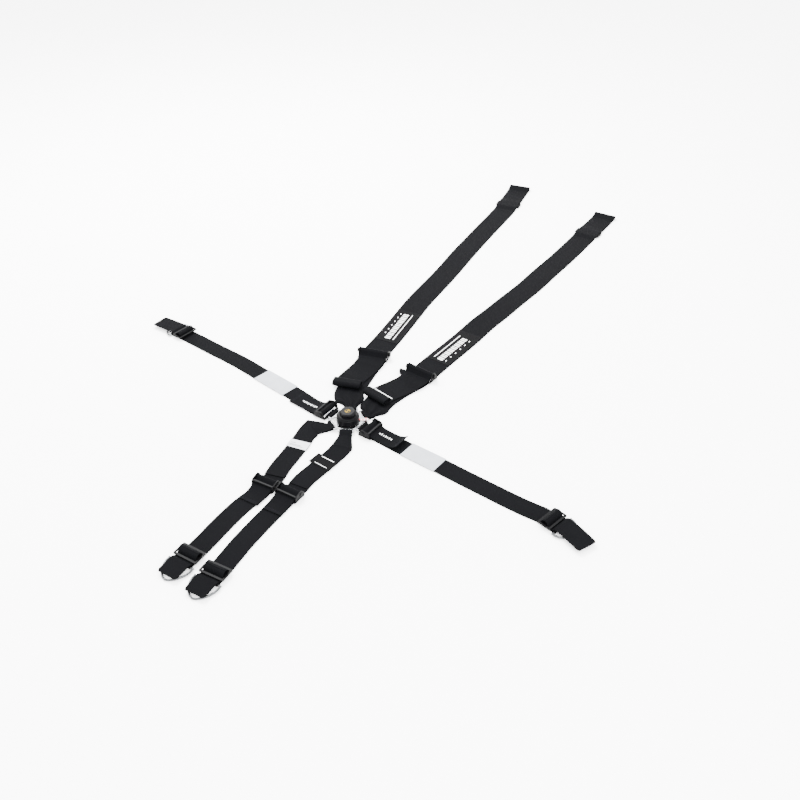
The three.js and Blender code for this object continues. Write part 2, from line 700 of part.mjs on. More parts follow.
// Radius of the middle of the webbing that runs round a lock bar.
function hugRadius(bar) {
  return bar.radius + BAR_GAP + WEB_THICK / 2;
}

function adjusterFrame(name, frame, web, lockBar) {
  const halfWidth = web / 2 + SIDE_PLAY + EAR_THICK;
  const base = roundedRectangle(-PLATE_HALF_LENGTH, PLATE_HALF_LENGTH, halfWidth, 3);
  const windowHalf = PLATE_HALF_LENGTH - CROSSBAR;
  base.holes.push(roundedRectangle(-windowHalf, windowHalf, web / 2 + SIDE_PLAY, 1));
  let solid = toSolid(plate(base, PLATE_BOTTOM, PLATE_THICK));
  const holeRadius = lockBar.radius + LOCK_BAR_CLEARANCE;
  const reach = holeRadius + EAR_WALL;
  const earTop = lockBar.z + reach;
  const earFoot = PLATE_BOTTOM + PLATE_THICK / 5; // sunk into the plate it stands on
  const outer = lockBar === waistBar ? GUIDE_BAR_START + GUIDE_BAR_LENGTH : lockBar.u + reach;
  const ear = new THREE.Shape(
    [
      [lockBar.u - reach - EAR_FOOT, earFoot],
      [outer + EAR_FOOT, earFoot],
      [outer + EAR_FOOT, lockBar.z],
      [outer - EAR_FOOT, Math.min(earTop, lockBar.z + EAR_SHOULDER)],
      [lockBar.u + reach / 2, earTop],
      [lockBar.u - reach / 2, earTop],
      [lockBar.u - reach - EAR_FOOT, lockBar.z],
    ].map(([u, z]) => new THREE.Vector2(u, z)),
  );
  ear.holes.push(circlePath(lockBar.u, lockBar.z, holeRadius));
  for (const side of [-1, 1]) {
    const geometry = acrossBelt(ear, EAR_THICK);
    geometry.translate(0, side * (halfWidth - EAR_THICK / 2), 0);
    solid = solid.add(toSolid(geometry));
  }
  if (lockBar === waistBar) {
    const guide = acrossBelt(
      roundedRectangle(0, GUIDE_BAR_LENGTH, GUIDE_BAR_THICK / 2, 1),
      2 * halfWidth - EAR_THICK,
    );
    guide.translate(GUIDE_BAR_START, 0, GUIDE_BAR_BOTTOM + GUIDE_BAR_THICK / 2);
    solid = solid.add(toSolid(guide));
  }
  addPiece(frame, name + "_adjuster_frame", toGeometry(solid), blackSteel);

  const length = 2 * (halfWidth + lockBar.overhang);
  const bar = new THREE.CylinderGeometry(lockBar.radius, lockBar.radius, length, 16);
  bar.translate(lockBar.u, 0, lockBar.z);
  addPiece(frame, name + "_lock_bar", bar, blackSteel);
}

// Shoulder adjuster: the belt comes in underneath, runs up over the lock bar and leaves
// as a tail towards the buckle, on top of the lower strap.
function shoulderTurn(name, frame, web) {
  const { u, z } = shoulderBar;
  const line = [
    [TURN_END, floorLayer],
    [SHOULDER_TURN_IN, floorLayer],
    ...arcPoints(u, z, hugRadius(shoulderBar), 0, 165, 8),
    [u - SHOULDER_TURN_OUT, overEye],
    [-TURN_END, overEye],
  ];
  const geometry = acrossBelt(bandOutline(line, WEB_THICK), web);
  addPiece(frame, name + "_strap_turn", geometry, webbing);
}

// Lap and crotch adjusters: the belt comes in underneath, turns up round the lock bar
// and leaves as a tail on top of itself, under the guide bar.
function waistTurn(name, frame, web) {
  const { u, z } = waistBar;
  const line = [
    [TURN_END, floorLayer],
    [u + 4, floorLayer],
    [u - 2, 2 * TURN_LIFT],
    ...arcPoints(u, z, hugRadius(waistBar), 200, 45, 8),
    ...UNDER_GUIDE_BAR,
    [TURN_END, secondLayer + TAIL_LIFT],
  ];
  const geometry = acrossBelt(bandOutline(line, WEB_THICK), web);
  addPiece(frame, name + "_strap_turn", geometry, webbing);
}

function adjuster(name, belt) {
  const frame = frameAt(belt.adjuster, belt.heading);
  const isShoulder = belt.web === SHOULDER_WEB;
  adjusterFrame(name, frame, belt.web, isShoulder ? shoulderBar : waistBar);
  if (isShoulder) shoulderTurn(name, frame, belt.web);
  else waistTurn(name, frame, belt.web);
}

// Shoulder tails end in a sewn roll that keeps them from slipping back.
function shoulderTail(name, belt, { heading, length }) {
  const start = seamPoint(belt, heading, -1);
  const rollMiddle = onDoubled + TAIL_ROLL;
  const inner = TAIL_ROLL - ROLL_STEP;
  const line = [
    [0, overEye],
    [-TAIL_DROP_START, overEye],
    [-TAIL_DROP_END, onDoubled],
    ...arcPoints(-length, rollMiddle, TAIL_ROLL, -90, -330, 9),
    ...arcPoints(-length, rollMiddle, inner, -345, -560, 7),
  ];
  const geometry = acrossBelt(bandOutline(line, WEB_THICK), belt.web - 1);
  addPiece(frameAt(start, heading), name + "_tail", geometry, webbing);
}

// Lap and crotch tails lie on the belt. A curl lifts the free end.
function waistTail(name, belt, { heading, length, curl }) {
  const start = seamPoint(belt, heading, 1);
  const line = [
    [0, secondLayer + 1.6],
    [0.25 * length, secondLayer],
    [0.6 * length, secondLayer],
    [0.82 * length, secondLayer + 0.35 * curl],
    [length, secondLayer + curl],
  ];
  const geometry = acrossBelt(bandOutline(line, WEB_THICK), belt.web);
  addPiece(frameAt(start, heading), name + "_tail", geometry, webbing);
}

// Belt ends

// A three bar slide: a flat plate with two slots.
function slidePlate(web, bottom) {
  const halfWidth = web / 2 + SIDE_PLAY + SLIDE_SIDE;
  const shape = roundedRectangle(-SLIDE_HALF_LENGTH, SLIDE_HALF_LENGTH, halfWidth, 3);
  const slotStart = SLIDE_MIDDLE_BAR / 2;
  const slotEnd = SLIDE_HALF_LENGTH - SLIDE_BAR;
  shape.holes.push(roundedRectangle(slotStart, slotEnd, web / 2 + SIDE_PLAY, 1));
  shape.holes.push(roundedRectangle(-slotEnd, -slotStart, web / 2 + SIDE_PLAY, 1));
  return plate(shape, bottom, SLIDE_THICK);
}

// A lap or crotch belt from its adjuster to its end: round the ring's bar, back through
// the slide, over its middle bar and out again as a flap on the ring.
function waistStrap(name, belt, route, end) {
  const start = seamPoint(belt, headingTo(belt.adjuster, route[0]), 1);
  const frame = frameAt(end.slide, end.heading);
  const hug = RING_ROD / 2 + BAR_GAP + WEB_THICK / 2;
  const line = [
    [-SLIDE_HALF_LENGTH - 12, floorLayer],
    [RING_BAR_U, floorLayer],
    ...arcPoints(RING_BAR_U, RING_BAR_Z, hug, -60, 127, 8),
    ...SLIDE_RETURN,
    ...SLIDE_HUMP,
    ...FLAP_OVER_RING,
    [end.flap, FLAP_END_Z],
  ];
  let turned = toSolid(acrossBelt(bandOutline(line, WEB_THICK), belt.web));
  turned = turned.subtract(toSolid(flapCorners(belt.web, end.flap)));
  if (end.turn) turned = turnedFlap(turned, end.flap, end.turn);
  const joint = along(end.slide, end.heading, -SLIDE_HALF_LENGTH - 10);
  const strip = flatStrip([start, ...route, joint], belt.web, belt.web, WEB_THICK, 20);
  const solid = toSolid(strip).add(turned.transform(frame.matrix.elements));
  addPiece(harness, name + "_strap", toGeometry(solid), webbing);
  addPiece(frame, name + "_slide", slidePlate(belt.web, SLIDE_BOTTOM), blackSteel);
  anchorRing(name, frame, belt.web, end.bow);
}

// What is cut away to leave a flap's free end with rounded corners.
function flapCorners(web, flap) {
  const half = web / 2;
  const corner = FLAP_CORNER;
  const shape = new THREE.Shape();
  shape.moveTo(flap - corner, -half - 1);
  shape.lineTo(flap + 1, -half - 1);
  shape.lineTo(flap + 1, half + 1);
  shape.lineTo(flap - corner, half + 1);
  shape.lineTo(flap - corner, half);
  shape.absarc(flap - corner, half - corner, corner, Math.PI / 2, 0, true);
  shape.absarc(flap - corner, -half + corner, corner, 0, -Math.PI / 2, true);
  return plate(shape, RING_BAR_Z + RING_ROD, 2 * RING_ROD);
}

// Bends the flap beyond the ring's bar sideways, as a strap that lies askew.
function turnedFlap(solid, flap, turn) {
  const bendStart = RING_BAR_U + 8;
  return solid.warp((point) => {
    const past = point[0] - bendStart;
    if (past <= 0) return;
    point[1] += past * Math.tan(radians(turn)) * Math.min(past / (flap - bendStart) + 0.5, 1);
  });
}

// An anchor ring: a straight bar inside the webbing's loop and a bow beyond it.
function anchorRing(name, frame, web, bow) {
  const half = web / 2 + SIDE_PLAY + RING_ROD;
  const knots = [
    [0, -half],
    [0.3 * bow, -half],
    [0.8 * bow, -0.55 * half],
    [bow, 0],
    [0.8 * bow, 0.55 * half],
    [0.3 * bow, half],
    [0, half],
  ].map(([u, v]) => new THREE.Vector3(u, v, 0));
  const radius = RING_ROD / 2;
  const section = new THREE.Shape();
  section.absarc(0, 0, radius, 0, 2 * Math.PI);
  const bowGeometry = new THREE.ExtrudeGeometry(section, {
    steps: 14,
    curveSegments: 8,
    bevelEnabled: false,
    extrudePath: new THREE.CatmullRomCurve3(knots),
  });
  const bar = new THREE.CylinderGeometry(radius, radius, 2 * half + RING_ROD, 8);
  const ring = toGeometry(toSolid(bowGeometry).add(toSolid(bar)));
  const mesh = addPiece(frame, name + "_anchor_ring", ring, brightSteel);
  mesh.position.set(RING_BAR_U, 0, RING_BAR_Z);
  mesh.rotation.y = Math.asin((RING_BAR_Z - radius) / bow);
}

// A shoulder belt: from its adjuster along its route, over the slide, round the end and
// back underneath as far as the slide.
function shoulderStrap(name, belt, route, end) {
  const slideBack = SHOULDER_SLIDE_BACK;
  const start = seamPoint(belt, headingTo(belt.adjuster, route[0]), 1);
  const last = route[route.length - 1];
  const heading = headingTo(last, end);
  const run = Math.hypot(end[0] - last[0], end[1] - last[1]);
  const frame = frameAt(end, heading);
  const loop = END_LOOP_RADIUS;
  const onSlide = 2 * WEB_THICK + 2 * TOUCH_GAP + SLIDE_THICK - WEB_THICK / 2;
  const line = [
    [-run, floorLayer],
    [-slideBack - SLIDE_CREST - SLIDE_RAMP, floorLayer],
    [-slideBack - SLIDE_CREST, onSlide],
    [-slideBack + SLIDE_CREST, onSlide],
    [-slideBack + SLIDE_CREST + SLIDE_RAMP_DOWN, secondLayer],
    [-END_LOOP_LENGTH, secondLayer],
    ...arcPoints(-loop, loop + floorLayer, loop, 90, -90, 8),
    [-slideBack - 20, floorLayer],
  ];
  const endLoop = acrossBelt(bandOutline(line, WEB_THICK), belt.web);
  const overlap = along(last, heading, 2);
  const strip = flatStrip([start, ...route, overlap], belt.web, belt.web, WEB_THICK, 30);
  const solid = toSolid(strip).add(toSolid(endLoop, frame.matrix));
  addPiece(harness, name + "_strap", toGeometry(solid), webbing);
  const slide = slidePlate(belt.web, WEB_THICK + TOUCH_GAP);
  addPiece(frame, name + "_slide", slide, blackSteel).position.x = -slideBack;
}

buckle();
careTag();
for (const [name, belt] of Object.entries(belts)) {
  tongue(name, belt);
  adjuster(name, belt);
  if (belt.web === SHOULDER_WEB) shoulderTail(name, belt, tails[name]);
  else waistTail(name, belt, tails[name]);
}
connector("shoulder_left_lower_strap", belts.shoulder_left, LOWER_LEFT_ROUTE);
connector("shoulder_right_lower_strap", belts.shoulder_right, LOWER_RIGHT_ROUTE);
connector("sub_left_upper_strap", belts.sub_left, UPPER_LEFT_ROUTE, UPPER_LEFT_FOLD);
connector("sub_right_upper_strap", belts.sub_right, UPPER_RIGHT_ROUTE, UPPER_RIGHT_FOLD);
lapLink("lap_left", belts.lap_left);
lapLink("lap_right", belts.lap_right);
shoulderStrap("shoulder_left", belts.shoulder_left, SHOULDER_LEFT_ROUTE, SHOULDER_LEFT_END);
shoulderStrap("shoulder_right", belts.shoulder_right, SHOULDER_RIGHT_ROUTE, SHOULDER_RIGHT_END);
waistStrap("lap_left", belts.lap_left, LAP_LEFT_ROUTE, ends.lap_left);
waistStrap("lap_right", belts.lap_right, LAP_RIGHT_ROUTE, ends.lap_right);
waistStrap("sub_left", belts.sub_left, SUB_LEFT_ROUTE, ends.sub_left);
waistStrap("sub_right", belts.sub_right, SUB_RIGHT_ROUTE, ends.sub_right);

export default harness;
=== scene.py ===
"""Racing harness laid out on a pale studio floor. The CAD frame is fixed; this script gives it
its webbing, labels, stitching and materials. Sizes are in millimetres unless a name says m."""
import math

import bpy
import bmesh
import numpy as np
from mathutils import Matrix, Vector


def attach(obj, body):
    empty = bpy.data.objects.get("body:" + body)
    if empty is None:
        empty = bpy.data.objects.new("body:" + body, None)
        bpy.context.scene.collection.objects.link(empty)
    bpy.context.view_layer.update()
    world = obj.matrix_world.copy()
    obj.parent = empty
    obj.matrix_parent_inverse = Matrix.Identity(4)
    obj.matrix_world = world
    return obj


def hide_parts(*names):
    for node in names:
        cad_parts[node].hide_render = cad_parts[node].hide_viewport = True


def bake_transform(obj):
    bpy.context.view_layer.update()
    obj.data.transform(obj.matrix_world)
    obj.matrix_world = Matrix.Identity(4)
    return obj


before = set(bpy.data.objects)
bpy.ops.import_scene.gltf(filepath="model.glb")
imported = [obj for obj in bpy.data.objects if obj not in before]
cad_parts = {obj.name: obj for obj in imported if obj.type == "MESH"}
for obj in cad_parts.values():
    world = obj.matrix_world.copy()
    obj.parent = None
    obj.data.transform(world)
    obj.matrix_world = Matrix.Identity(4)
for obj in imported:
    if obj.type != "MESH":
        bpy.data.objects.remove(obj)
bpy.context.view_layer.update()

MM = 0.001
SHOULDER_WEB = 75.0
WAIST_WEB = 50.0
GATHERED_WEB = 32.0
GATHER_SHARE = 0.25  # of a lower strap, over which it spreads out from its gathered start
WEB = 1.7  # thickness of the webbing
FLAT = 0.9  # height of the middle of webbing that lies on the floor
SECOND = 2.75  # the same for the upper layer of doubled webbing
ON_STRAP = 3.05  # and for a tail that lies on its own strap
TONGUE_BAR = 42  # from the buckle's middle to a tongue's bar
TONGUE_EYE = 16  # from that bar to where the webbing round it is sewn down
CROSSBAR_SEAM = -29  # from an adjuster's middle to where the webbing round it is sewn down
FLAP_START = 34  # from a slide's middle to where the free flap begins

# ---------------------------------------------------------------- camera and light

SKY, KEY, FILL = 8.0, 420.0, 140.0
FLOOR_HALF_M, FLOOR_DROP_M = 12, 0.0004
FLOOR_TONE = (0.93, 0.93, 0.93)


def make_camera():
    data = bpy.data.cameras.new("camera")
    data.lens, data.sensor_width = 38.2, 36.0
    data.clip_start, data.clip_end = 0.05, 50
    camera = bpy.data.objects.new("camera", data)
    camera.location = (1.020, -1.284, 1.300)
    camera.rotation_euler = (math.radians(53), 0, math.radians(34))
    bpy.context.collection.objects.link(camera)
    bpy.context.scene.camera = camera


def make_light(name, place, target, size, power):
    data = bpy.data.lights.new(name, "AREA")
    data.shape, data.size, data.energy = "DISK", size, power
    lamp = bpy.data.objects.new(name, data)
    lamp.location = place
    aim = Vector(target) - Vector(place)
    lamp.rotation_euler = aim.to_track_quat("-Z", "Y").to_euler()
    bpy.context.collection.objects.link(lamp)


def make_studio():
    world = bpy.data.worlds.new("studio")
    world.use_nodes = True
    background = world.node_tree.nodes["Background"]
    background.inputs["Color"].default_value = (1, 1, 1, 1)
    background.inputs["Strength"].default_value = SKY
    bpy.context.scene.world = world
    make_light("key", (-1.6, 1.2, 2.6), (0, 0.3, 0), 1.6, KEY)
    make_light("fill", (1.8, -1.4, 2.2), (0, 0, 0), 2.0, FILL)

    mesh = bpy.data.meshes.new("floor")
    half = FLOOR_HALF_M
    corners = [(-half, -half), (half, -half), (half, half), (-half, half)]
    mesh.from_pydata([(x, y, -FLOOR_DROP_M) for x, y in corners], [], [(0, 1, 2, 3)])
    floor = bpy.data.objects.new("floor", mesh)
    bpy.context.collection.objects.link(floor)
    material = bpy.data.materials.new("floor")
    material.use_nodes = True
    shader = material.node_tree.nodes["Principled BSDF"]
    shader.inputs["Base Color"].default_value = (*FLOOR_TONE, 1)
    shader.inputs["Roughness"].default_value = 0.9
    shader.inputs["Specular IOR Level"].default_value = 0.1
    mesh.materials.append(material)


make_camera()
make_studio()

# ---------------------------------------------------------------- materials


class Nodes:
    """Short calls for building a material's node tree."""

    def __init__(self, name):
        self.material = bpy.data.materials.new(name)
        self.material.use_nodes = True
        self.tree = self.material.node_tree
        self.shader = self.tree.nodes["Principled BSDF"]

    def node(self, kind, **settings):
        made = self.tree.nodes.new(kind)
        for key, value in settings.items():
            setattr(made, key, value)
        return made

    def link(self, source, target):
        self.tree.links.new(source, target)

    def put(self, socket, value):
        if isinstance(value, bpy.types.NodeSocket):
            self.link(value, socket)
        else:
            socket.default_value = value

    def math(self, operation, a, b=0.0, c=0.0, clamp=False):
        made = self.node("ShaderNodeMath", operation=operation, use_clamp=clamp)
        for socket, value in zip(made.inputs, (a, b, c)):
            self.put(socket, value)
        return made.outputs[0]

    def mix(self, share, a, b):
        made = self.node("ShaderNodeMix", data_type="RGBA")
        self.put(made.inputs[0], share)
        self.put(made.inputs[6], a)
        self.put(made.inputs[7], b)
        return made.outputs[2]

    def noise(self, vector, scale, detail=2.0, roughness=0.5):
        made = self.node("ShaderNodeTexNoise")
        self.put(made.inputs["Vector"], vector)
        made.inputs["Scale"].default_value = scale
        made.inputs["Detail"].default_value = detail
        made.inputs["Roughness"].default_value = roughness
        return made.outputs[0]

    def object_place(self):
        return self.node("ShaderNodeTexCoord").outputs["Object"]

    def ramp(self, value, low, high):
        made = self.node("ShaderNodeMapRange")
        self.put(made.inputs["Value"], value)
        made.inputs["To Min"].default_value = low
        made.inputs["To Max"].default_value = high
        return made.outputs["Result"]

    def bump(self, height, strength, distance, normal=None):
        made = self.node("ShaderNodeBump")
        self.put(made.inputs["Height"], height)
        made.inputs["Strength"].default_value = strength
        made.inputs["Distance"].default_value = distance
        if normal is not None:
            self.link(normal, made.inputs["Normal"])
        return made.outputs[0]

    def rounded(self, radius):
        made = self.node("ShaderNodeBevel", samples=4)
        made.inputs["Radius"].default_value = radius
        return made.outputs[0]


WEBBING_SHINE, PLASTIC_SHINE, EMBLEM_SHINE, CLOTH_SHINE = 0.012, 0.04, 0.04, 0.03


def rgb(*values):
    return (*values, 1.0)


def webbing_material(name, dark, light, rib=2.1, pitch=1.3):
    """Narrow ribs along the belt, each crossed by short slanted yarns, with bound edges."""
    n = Nodes(name)
    uv = n.node("ShaderNodeUVMap", uv_map="web").outputs[0]
    split = n.node("ShaderNodeSeparateXYZ")
    n.link(uv, split.inputs[0])
    across = n.math("MULTIPLY", split.outputs[0], 100.0)
    along = n.math("MULTIPLY", split.outputs[1], 100.0)
    rib_phase = n.math("MULTIPLY", across, 2 * math.pi / rib)
    ribs = n.math("MULTIPLY_ADD", n.math("SINE", rib_phase), 0.5, 0.5)
    slant = n.math("PINGPONG", across, rib)
    yarn_phase = n.math("MULTIPLY", n.math("ADD", along, slant), 2 * math.pi / pitch)
    yarns = n.math("MULTIPLY_ADD", n.math("SINE", yarn_phase), 0.5, 0.5)
    weave = n.math("MULTIPLY_ADD", yarns, 0.45, n.math("MULTIPLY", ribs, 0.55))
    place = n.object_place()
    wear_and_painted_edge = n.noise(place, 9.0, 3.0)
    fibre = n.noise(place, 900.0, 2.0)
    tone = n.math("MULTIPLY_ADD", wear_and_painted_edge, 0.5, n.math("MULTIPLY", weave, 0.5), clamp=True)
    n.put(n.shader.inputs["Base Color"], n.mix(tone, dark, light))
    rough = n.ramp(n.math("MULTIPLY", n.math("ADD", fibre, wear_and_painted_edge), 0.5), 0.62, 0.86)
    n.put(n.shader.inputs["Roughness"], rough)
    height = n.math("MULTIPLY_ADD", fibre, 0.35, weave)
    n.put(n.shader.inputs["Normal"], n.bump(height, 0.55, 0.0004))
    n.shader.inputs["Specular IOR Level"].default_value = WEBBING_SHINE
    return n.material


def steel_material(name, base, roughness, metallic, wear_and_painted_edge=None, edge=0.0006, shine=0.5):
    """Blotched metal with soft edges. The optional edge colour is painted light, mixed in where the
    edges round off: a lighter one is a painted edge highlight, a darker one a painted dark edge
    reflection.
    """
    n = Nodes(name)
    place = n.object_place()
    blotch = n.noise(place, 60.0, 3.0)
    grain = n.noise(place, 1400.0, 2.0)
    soft = n.rounded(edge)
    light = tuple(min(1.0, c * 1.25 + 0.0004) for c in base[:3])
    colour = n.mix(blotch, base, rgb(*light))
    # Painted light: the edge colour goes where the rounded normal turns away from the flat one. It
    # is a painted highlight when lighter than the metal and a painted dark reflection when darker.
    if wear_and_painted_edge:
        flat = n.node("ShaderNodeNewGeometry").outputs["Normal"]
        match = n.node("ShaderNodeVectorMath", operation="DOT_PRODUCT")
        n.link(soft, match.inputs[0])
        n.link(flat, match.inputs[1])
        bend = n.math("SUBTRACT", 1.0, match.outputs["Value"])
        painted_edge_share = n.math("MULTIPLY", bend, 3.0, clamp=True)
        colour = n.mix(painted_edge_share, colour, wear_and_painted_edge)
    n.put(n.shader.inputs["Base Color"], colour)
    n.put(n.shader.inputs["Roughness"], n.ramp(blotch, roughness - 0.04, roughness + 0.06))
    n.shader.inputs["Metallic"].default_value = metallic
    n.shader.inputs["Specular IOR Level"].default_value = shine
    n.put(n.shader.inputs["Normal"], n.bump(grain, 0.08, 0.0002, soft))
    return n.material


def plastic_material(name, base, roughness, edge=0.0014):
    n = Nodes(name)
    place = n.object_place()
    grain = n.noise(place, 1800.0, 2.0)
    cloud = n.noise(place, 30.0, 2.0)
    light = tuple(c * 1.3 + 0.0003 for c in base[:3])
    n.put(n.shader.inputs["Base Color"], n.mix(cloud, base, rgb(*light)))
    n.put(n.shader.inputs["Roughness"], n.ramp(cloud, roughness - 0.06, roughness + 0.08))
    n.put(n.shader.inputs["Normal"], n.bump(grain, 0.15, 0.0002, n.rounded(edge)))
    n.shader.inputs["Specular IOR Level"].default_value = PLASTIC_SHINE
    return n.material


def cloth_material(name, dark, light, pitch=0.9, roughness=0.8, strength=0.4):
    """Plain fine cloth: the weave of sewn labels and patches."""
    n = Nodes(name)
    uv = n.node("ShaderNodeUVMap", uv_map="web").outputs[0]
    split = n.node("ShaderNodeSeparateXYZ")
    n.link(uv, split.inputs[0])
    turn = 100.0 * 2 * math.pi / pitch
    warp = n.math("SINE", n.math("MULTIPLY", split.outputs[0], turn))
    weft = n.math("SINE", n.math("MULTIPLY", split.outputs[1], turn))
    weave = n.math("MULTIPLY_ADD", n.math("MULTIPLY", warp, weft), 0.5, 0.5)
    cloud = n.noise(n.object_place(), 45.0, 3.0)
    tone = n.math("MULTIPLY_ADD", cloud, 0.6, n.math("MULTIPLY", weave, 0.4), clamp=True)
    n.put(n.shader.inputs["Base Color"], n.mix(tone, dark, light))
    n.put(n.shader.inputs["Roughness"], n.ramp(cloud, roughness - 0.08, roughness + 0.08))
    n.put(n.shader.inputs["Normal"], n.bump(weave, strength, 0.0003))
    n.shader.inputs["Specular IOR Level"].default_value = CLOTH_SHINE
    return n.material


def emblem_material():
    """A dark gold disc with a black rim and two plain curved arms."""
    n = Nodes("emblem")
    place = n.object_place()
    split = n.node("ShaderNodeSeparateXYZ")
    n.link(place, split.inputs[0])
    squares = [n.math("MULTIPLY", split.outputs[axis], split.outputs[axis]) for axis in (0, 1)]
    radius = n.math("SQRT", n.math("ADD", *squares))
    turn = n.math("ARCTAN2", split.outputs[1], split.outputs[0])
    twist = n.math("MULTIPLY_ADD", turn, 2.0, n.math("MULTIPLY", radius, 420.0))
    arms = n.math("GREATER_THAN", n.math("SINE", twist), 0.0)
    past_middle = n.math("GREATER_THAN", radius, 0.0016)
    inside = n.math("MULTIPLY", past_middle, n.math("LESS_THAN", radius, 0.0062))
    rim = n.math("GREATER_THAN", radius, 0.0070)
    dark = n.math("MAXIMUM", rim, n.math("MULTIPLY", arms, inside))
    cloud = n.noise(place, 300.0, 2.0)
    gold = n.mix(cloud, rgb(0.085, 0.052, 0.0003), rgb(0.12, 0.076, 0.0005))
    n.put(n.shader.inputs["Base Color"], n.mix(dark, gold, rgb(0.003, 0.003, 0.003)))
    n.put(n.shader.inputs["Roughness"], n.ramp(cloud, 0.35, 0.5))
    n.put(n.shader.inputs["Normal"], n.bump(cloud, 0.1, 0.0002, n.rounded(0.0004)))
    n.shader.inputs["Specular IOR Level"].default_value = EMBLEM_SHINE
    return n.material


def tag_material():
    """White ribbon with red bands across it."""
    n = Nodes("tag_ribbon")
    place = n.object_place()
    split = n.node("ShaderNodeSeparateXYZ")
    n.link(place, split.inputs[0])
    away = n.math("ADD", split.outputs[0], split.outputs[1])
    band = n.math("GREATER_THAN", n.math("FRACT", n.math("MULTIPLY", away, 95.0)), 0.55)
    colour = n.mix(band, rgb(0.45, 0.44, 0.44), rgb(0.30, 0.006, 0.010))
    fuzz = n.noise(place, 700.0, 2.0)
    faded = n.mix(n.math("MULTIPLY", fuzz, 0.15), colour, rgb(0.3, 0.3, 0.3))
    n.put(n.shader.inputs["Base Color"], faded)
    n.shader.inputs["Roughness"].default_value = 0.6
    n.put(n.shader.inputs["Normal"], n.bump(fuzz, 0.2, 0.0002))
    return n.material


WEBBING = webbing_material("webbing", rgb(0.0004, 0.0004, 0.0005), rgb(0.0023, 0.0024, 0.0029))
# Black steel's last colour is painted on its edges, lighter than the steel: a painted edge
# highlight.
BLACK_STEEL = steel_material(
    "black_steel", rgb(0.0006, 0.0006, 0.0008), 0.46, 0.0, rgb(0.006, 0.0062, 0.0068), shine=0.035)
# Bright steel and ring steel: the last colour is painted on their edges, darker than the metal, as
# a painted dark edge reflection.
CHROME = steel_material("bright_steel", rgb(0.17, 0.175, 0.18), 0.16, 1.0, rgb(0.004, 0.004, 0.005))
RING_STEEL = steel_material(
    "ring_steel", rgb(0.05, 0.052, 0.054), 0.24, 1.0, rgb(0.012, 0.012, 0.013))
PLASTIC = plastic_material("black_plastic", rgb(0.0004, 0.0004, 0.0006), 0.40)
GOLD = emblem_material()
PATCH = cloth_material("patch_cloth", rgb(0.0003, 0.0003, 0.0004), rgb(0.0010, 0.0010, 0.0012))
WHITE_PRINT = cloth_material(
    "white_print", rgb(0.50, 0.50, 0.50), rgb(0.66, 0.66, 0.66), roughness=0.6)
LABEL = cloth_material("label_cloth", rgb(0.21, 0.22, 0.24), rgb(0.30, 0.31, 0.33), pitch=1.1)
WHITE_LABEL = cloth_material("white_label", rgb(0.34, 0.35, 0.36), rgb(0.48, 0.48, 0.49))
GREY_PRINT = cloth_material("grey_print", rgb(0.05, 0.05, 0.055), rgb(0.08, 0.08, 0.085))
THREAD = cloth_material("thread", rgb(0.004, 0.004, 0.005), rgb(0.009, 0.009, 0.011), strength=0.2)
TAG = tag_material()
END_EDGE = cloth_material("green_edge", rgb(0.0, 0.045, 0.022), rgb(0.0, 0.08, 0.04))

# ---------------------------------------------------------------- lines and sections


def heading_of(a, b):
    return math.degrees(math.atan2(b[1] - a[1], b[0] - a[0]))


def along(point, heading, distance):
    t = math.radians(heading)
    return (point[0] + distance * math.cos(t), point[1] + distance * math.sin(t))


def arc(u, z, radius, start, end, steps):
    turns = [math.radians(start + (end - start) * i / steps) for i in range(steps + 1)]
    return [(u + radius * math.cos(t), z + radius * math.sin(t)) for t in turns]


def profile(origin, heading, points, width):
    """Sections of a side view: points are (u, z) in the belt's own frame."""
    t = math.radians(heading)
    out, side = np.array([math.cos(t), math.sin(t), 0]), np.array([-math.sin(t), math.cos(t), 0])
    base = np.array([origin[0], origin[1], 0.0])
    if not hasattr(width, "__len__"):
        width = [width] * len(points)
    return [(base + out * u + np.array([0, 0, z]), side, w) for (u, z), w in zip(points, width)]


def catmull(points, steps=8):
    p = [np.array(q, float) for q in points]
    p = [2 * p[0] - p[1]] + p + [2 * p[-1] - p[-2]]
    out = []
    for i in range(1, len(p) - 2):
        p0, p1, p2, p3 = p[i - 1 : i + 3]
        t0 = 0.0
        t1 = t0 + max(np.linalg.norm(p1 - p0), 1e-6) ** 0.5
        t2 = t1 + max(np.linalg.norm(p2 - p1), 1e-6) ** 0.5
        t3 = t2 + max(np.linalg.norm(p3 - p2), 1e-6) ** 0.5
        for j in range(steps):
            t = t1 + (t2 - t1) * j / steps
            a1 = (p0 * (t1 - t) + p1 * (t - t0)) / (t1 - t0)
            a2 = (p1 * (t2 - t) + p2 * (t - t1)) / (t2 - t1)
            a3 = (p2 * (t3 - t) + p3 * (t - t2)) / (t3 - t2)
            b1 = (a1 * (t2 - t) + a2 * (t - t0)) / (t2 - t0)
            b2 = (a2 * (t3 - t) + a3 * (t - t1)) / (t3 - t1)
            out.append((b1 * (t2 - t) + b2 * (t - t1)) / (t2 - t1))
    out.append(p[-2])
    return out


def plan(points, z, start_width, end_width, reverse=False):
    """Sections of webbing lying at height z along a smooth line in plan."""
    line = catmull(points)
    line = np.array([[x, y] for x, y in line])
    step = np.gradient(line, axis=0)
    step /= np.linalg.norm(step, axis=1)[:, None]
    made = []
    for i, ((x, y), (dx, dy)) in enumerate(zip(line, step)):
        share = min(i / (len(line) - 1) / GATHER_SHARE, 1.0)
        share = share * share * (3 - 2 * share)
        width = start_width + (end_width - start_width) * share
        made.append((np.array([x, y, z]), np.array([-dy, dx, 0.0]), width))
    return made[::-1] if reverse else made


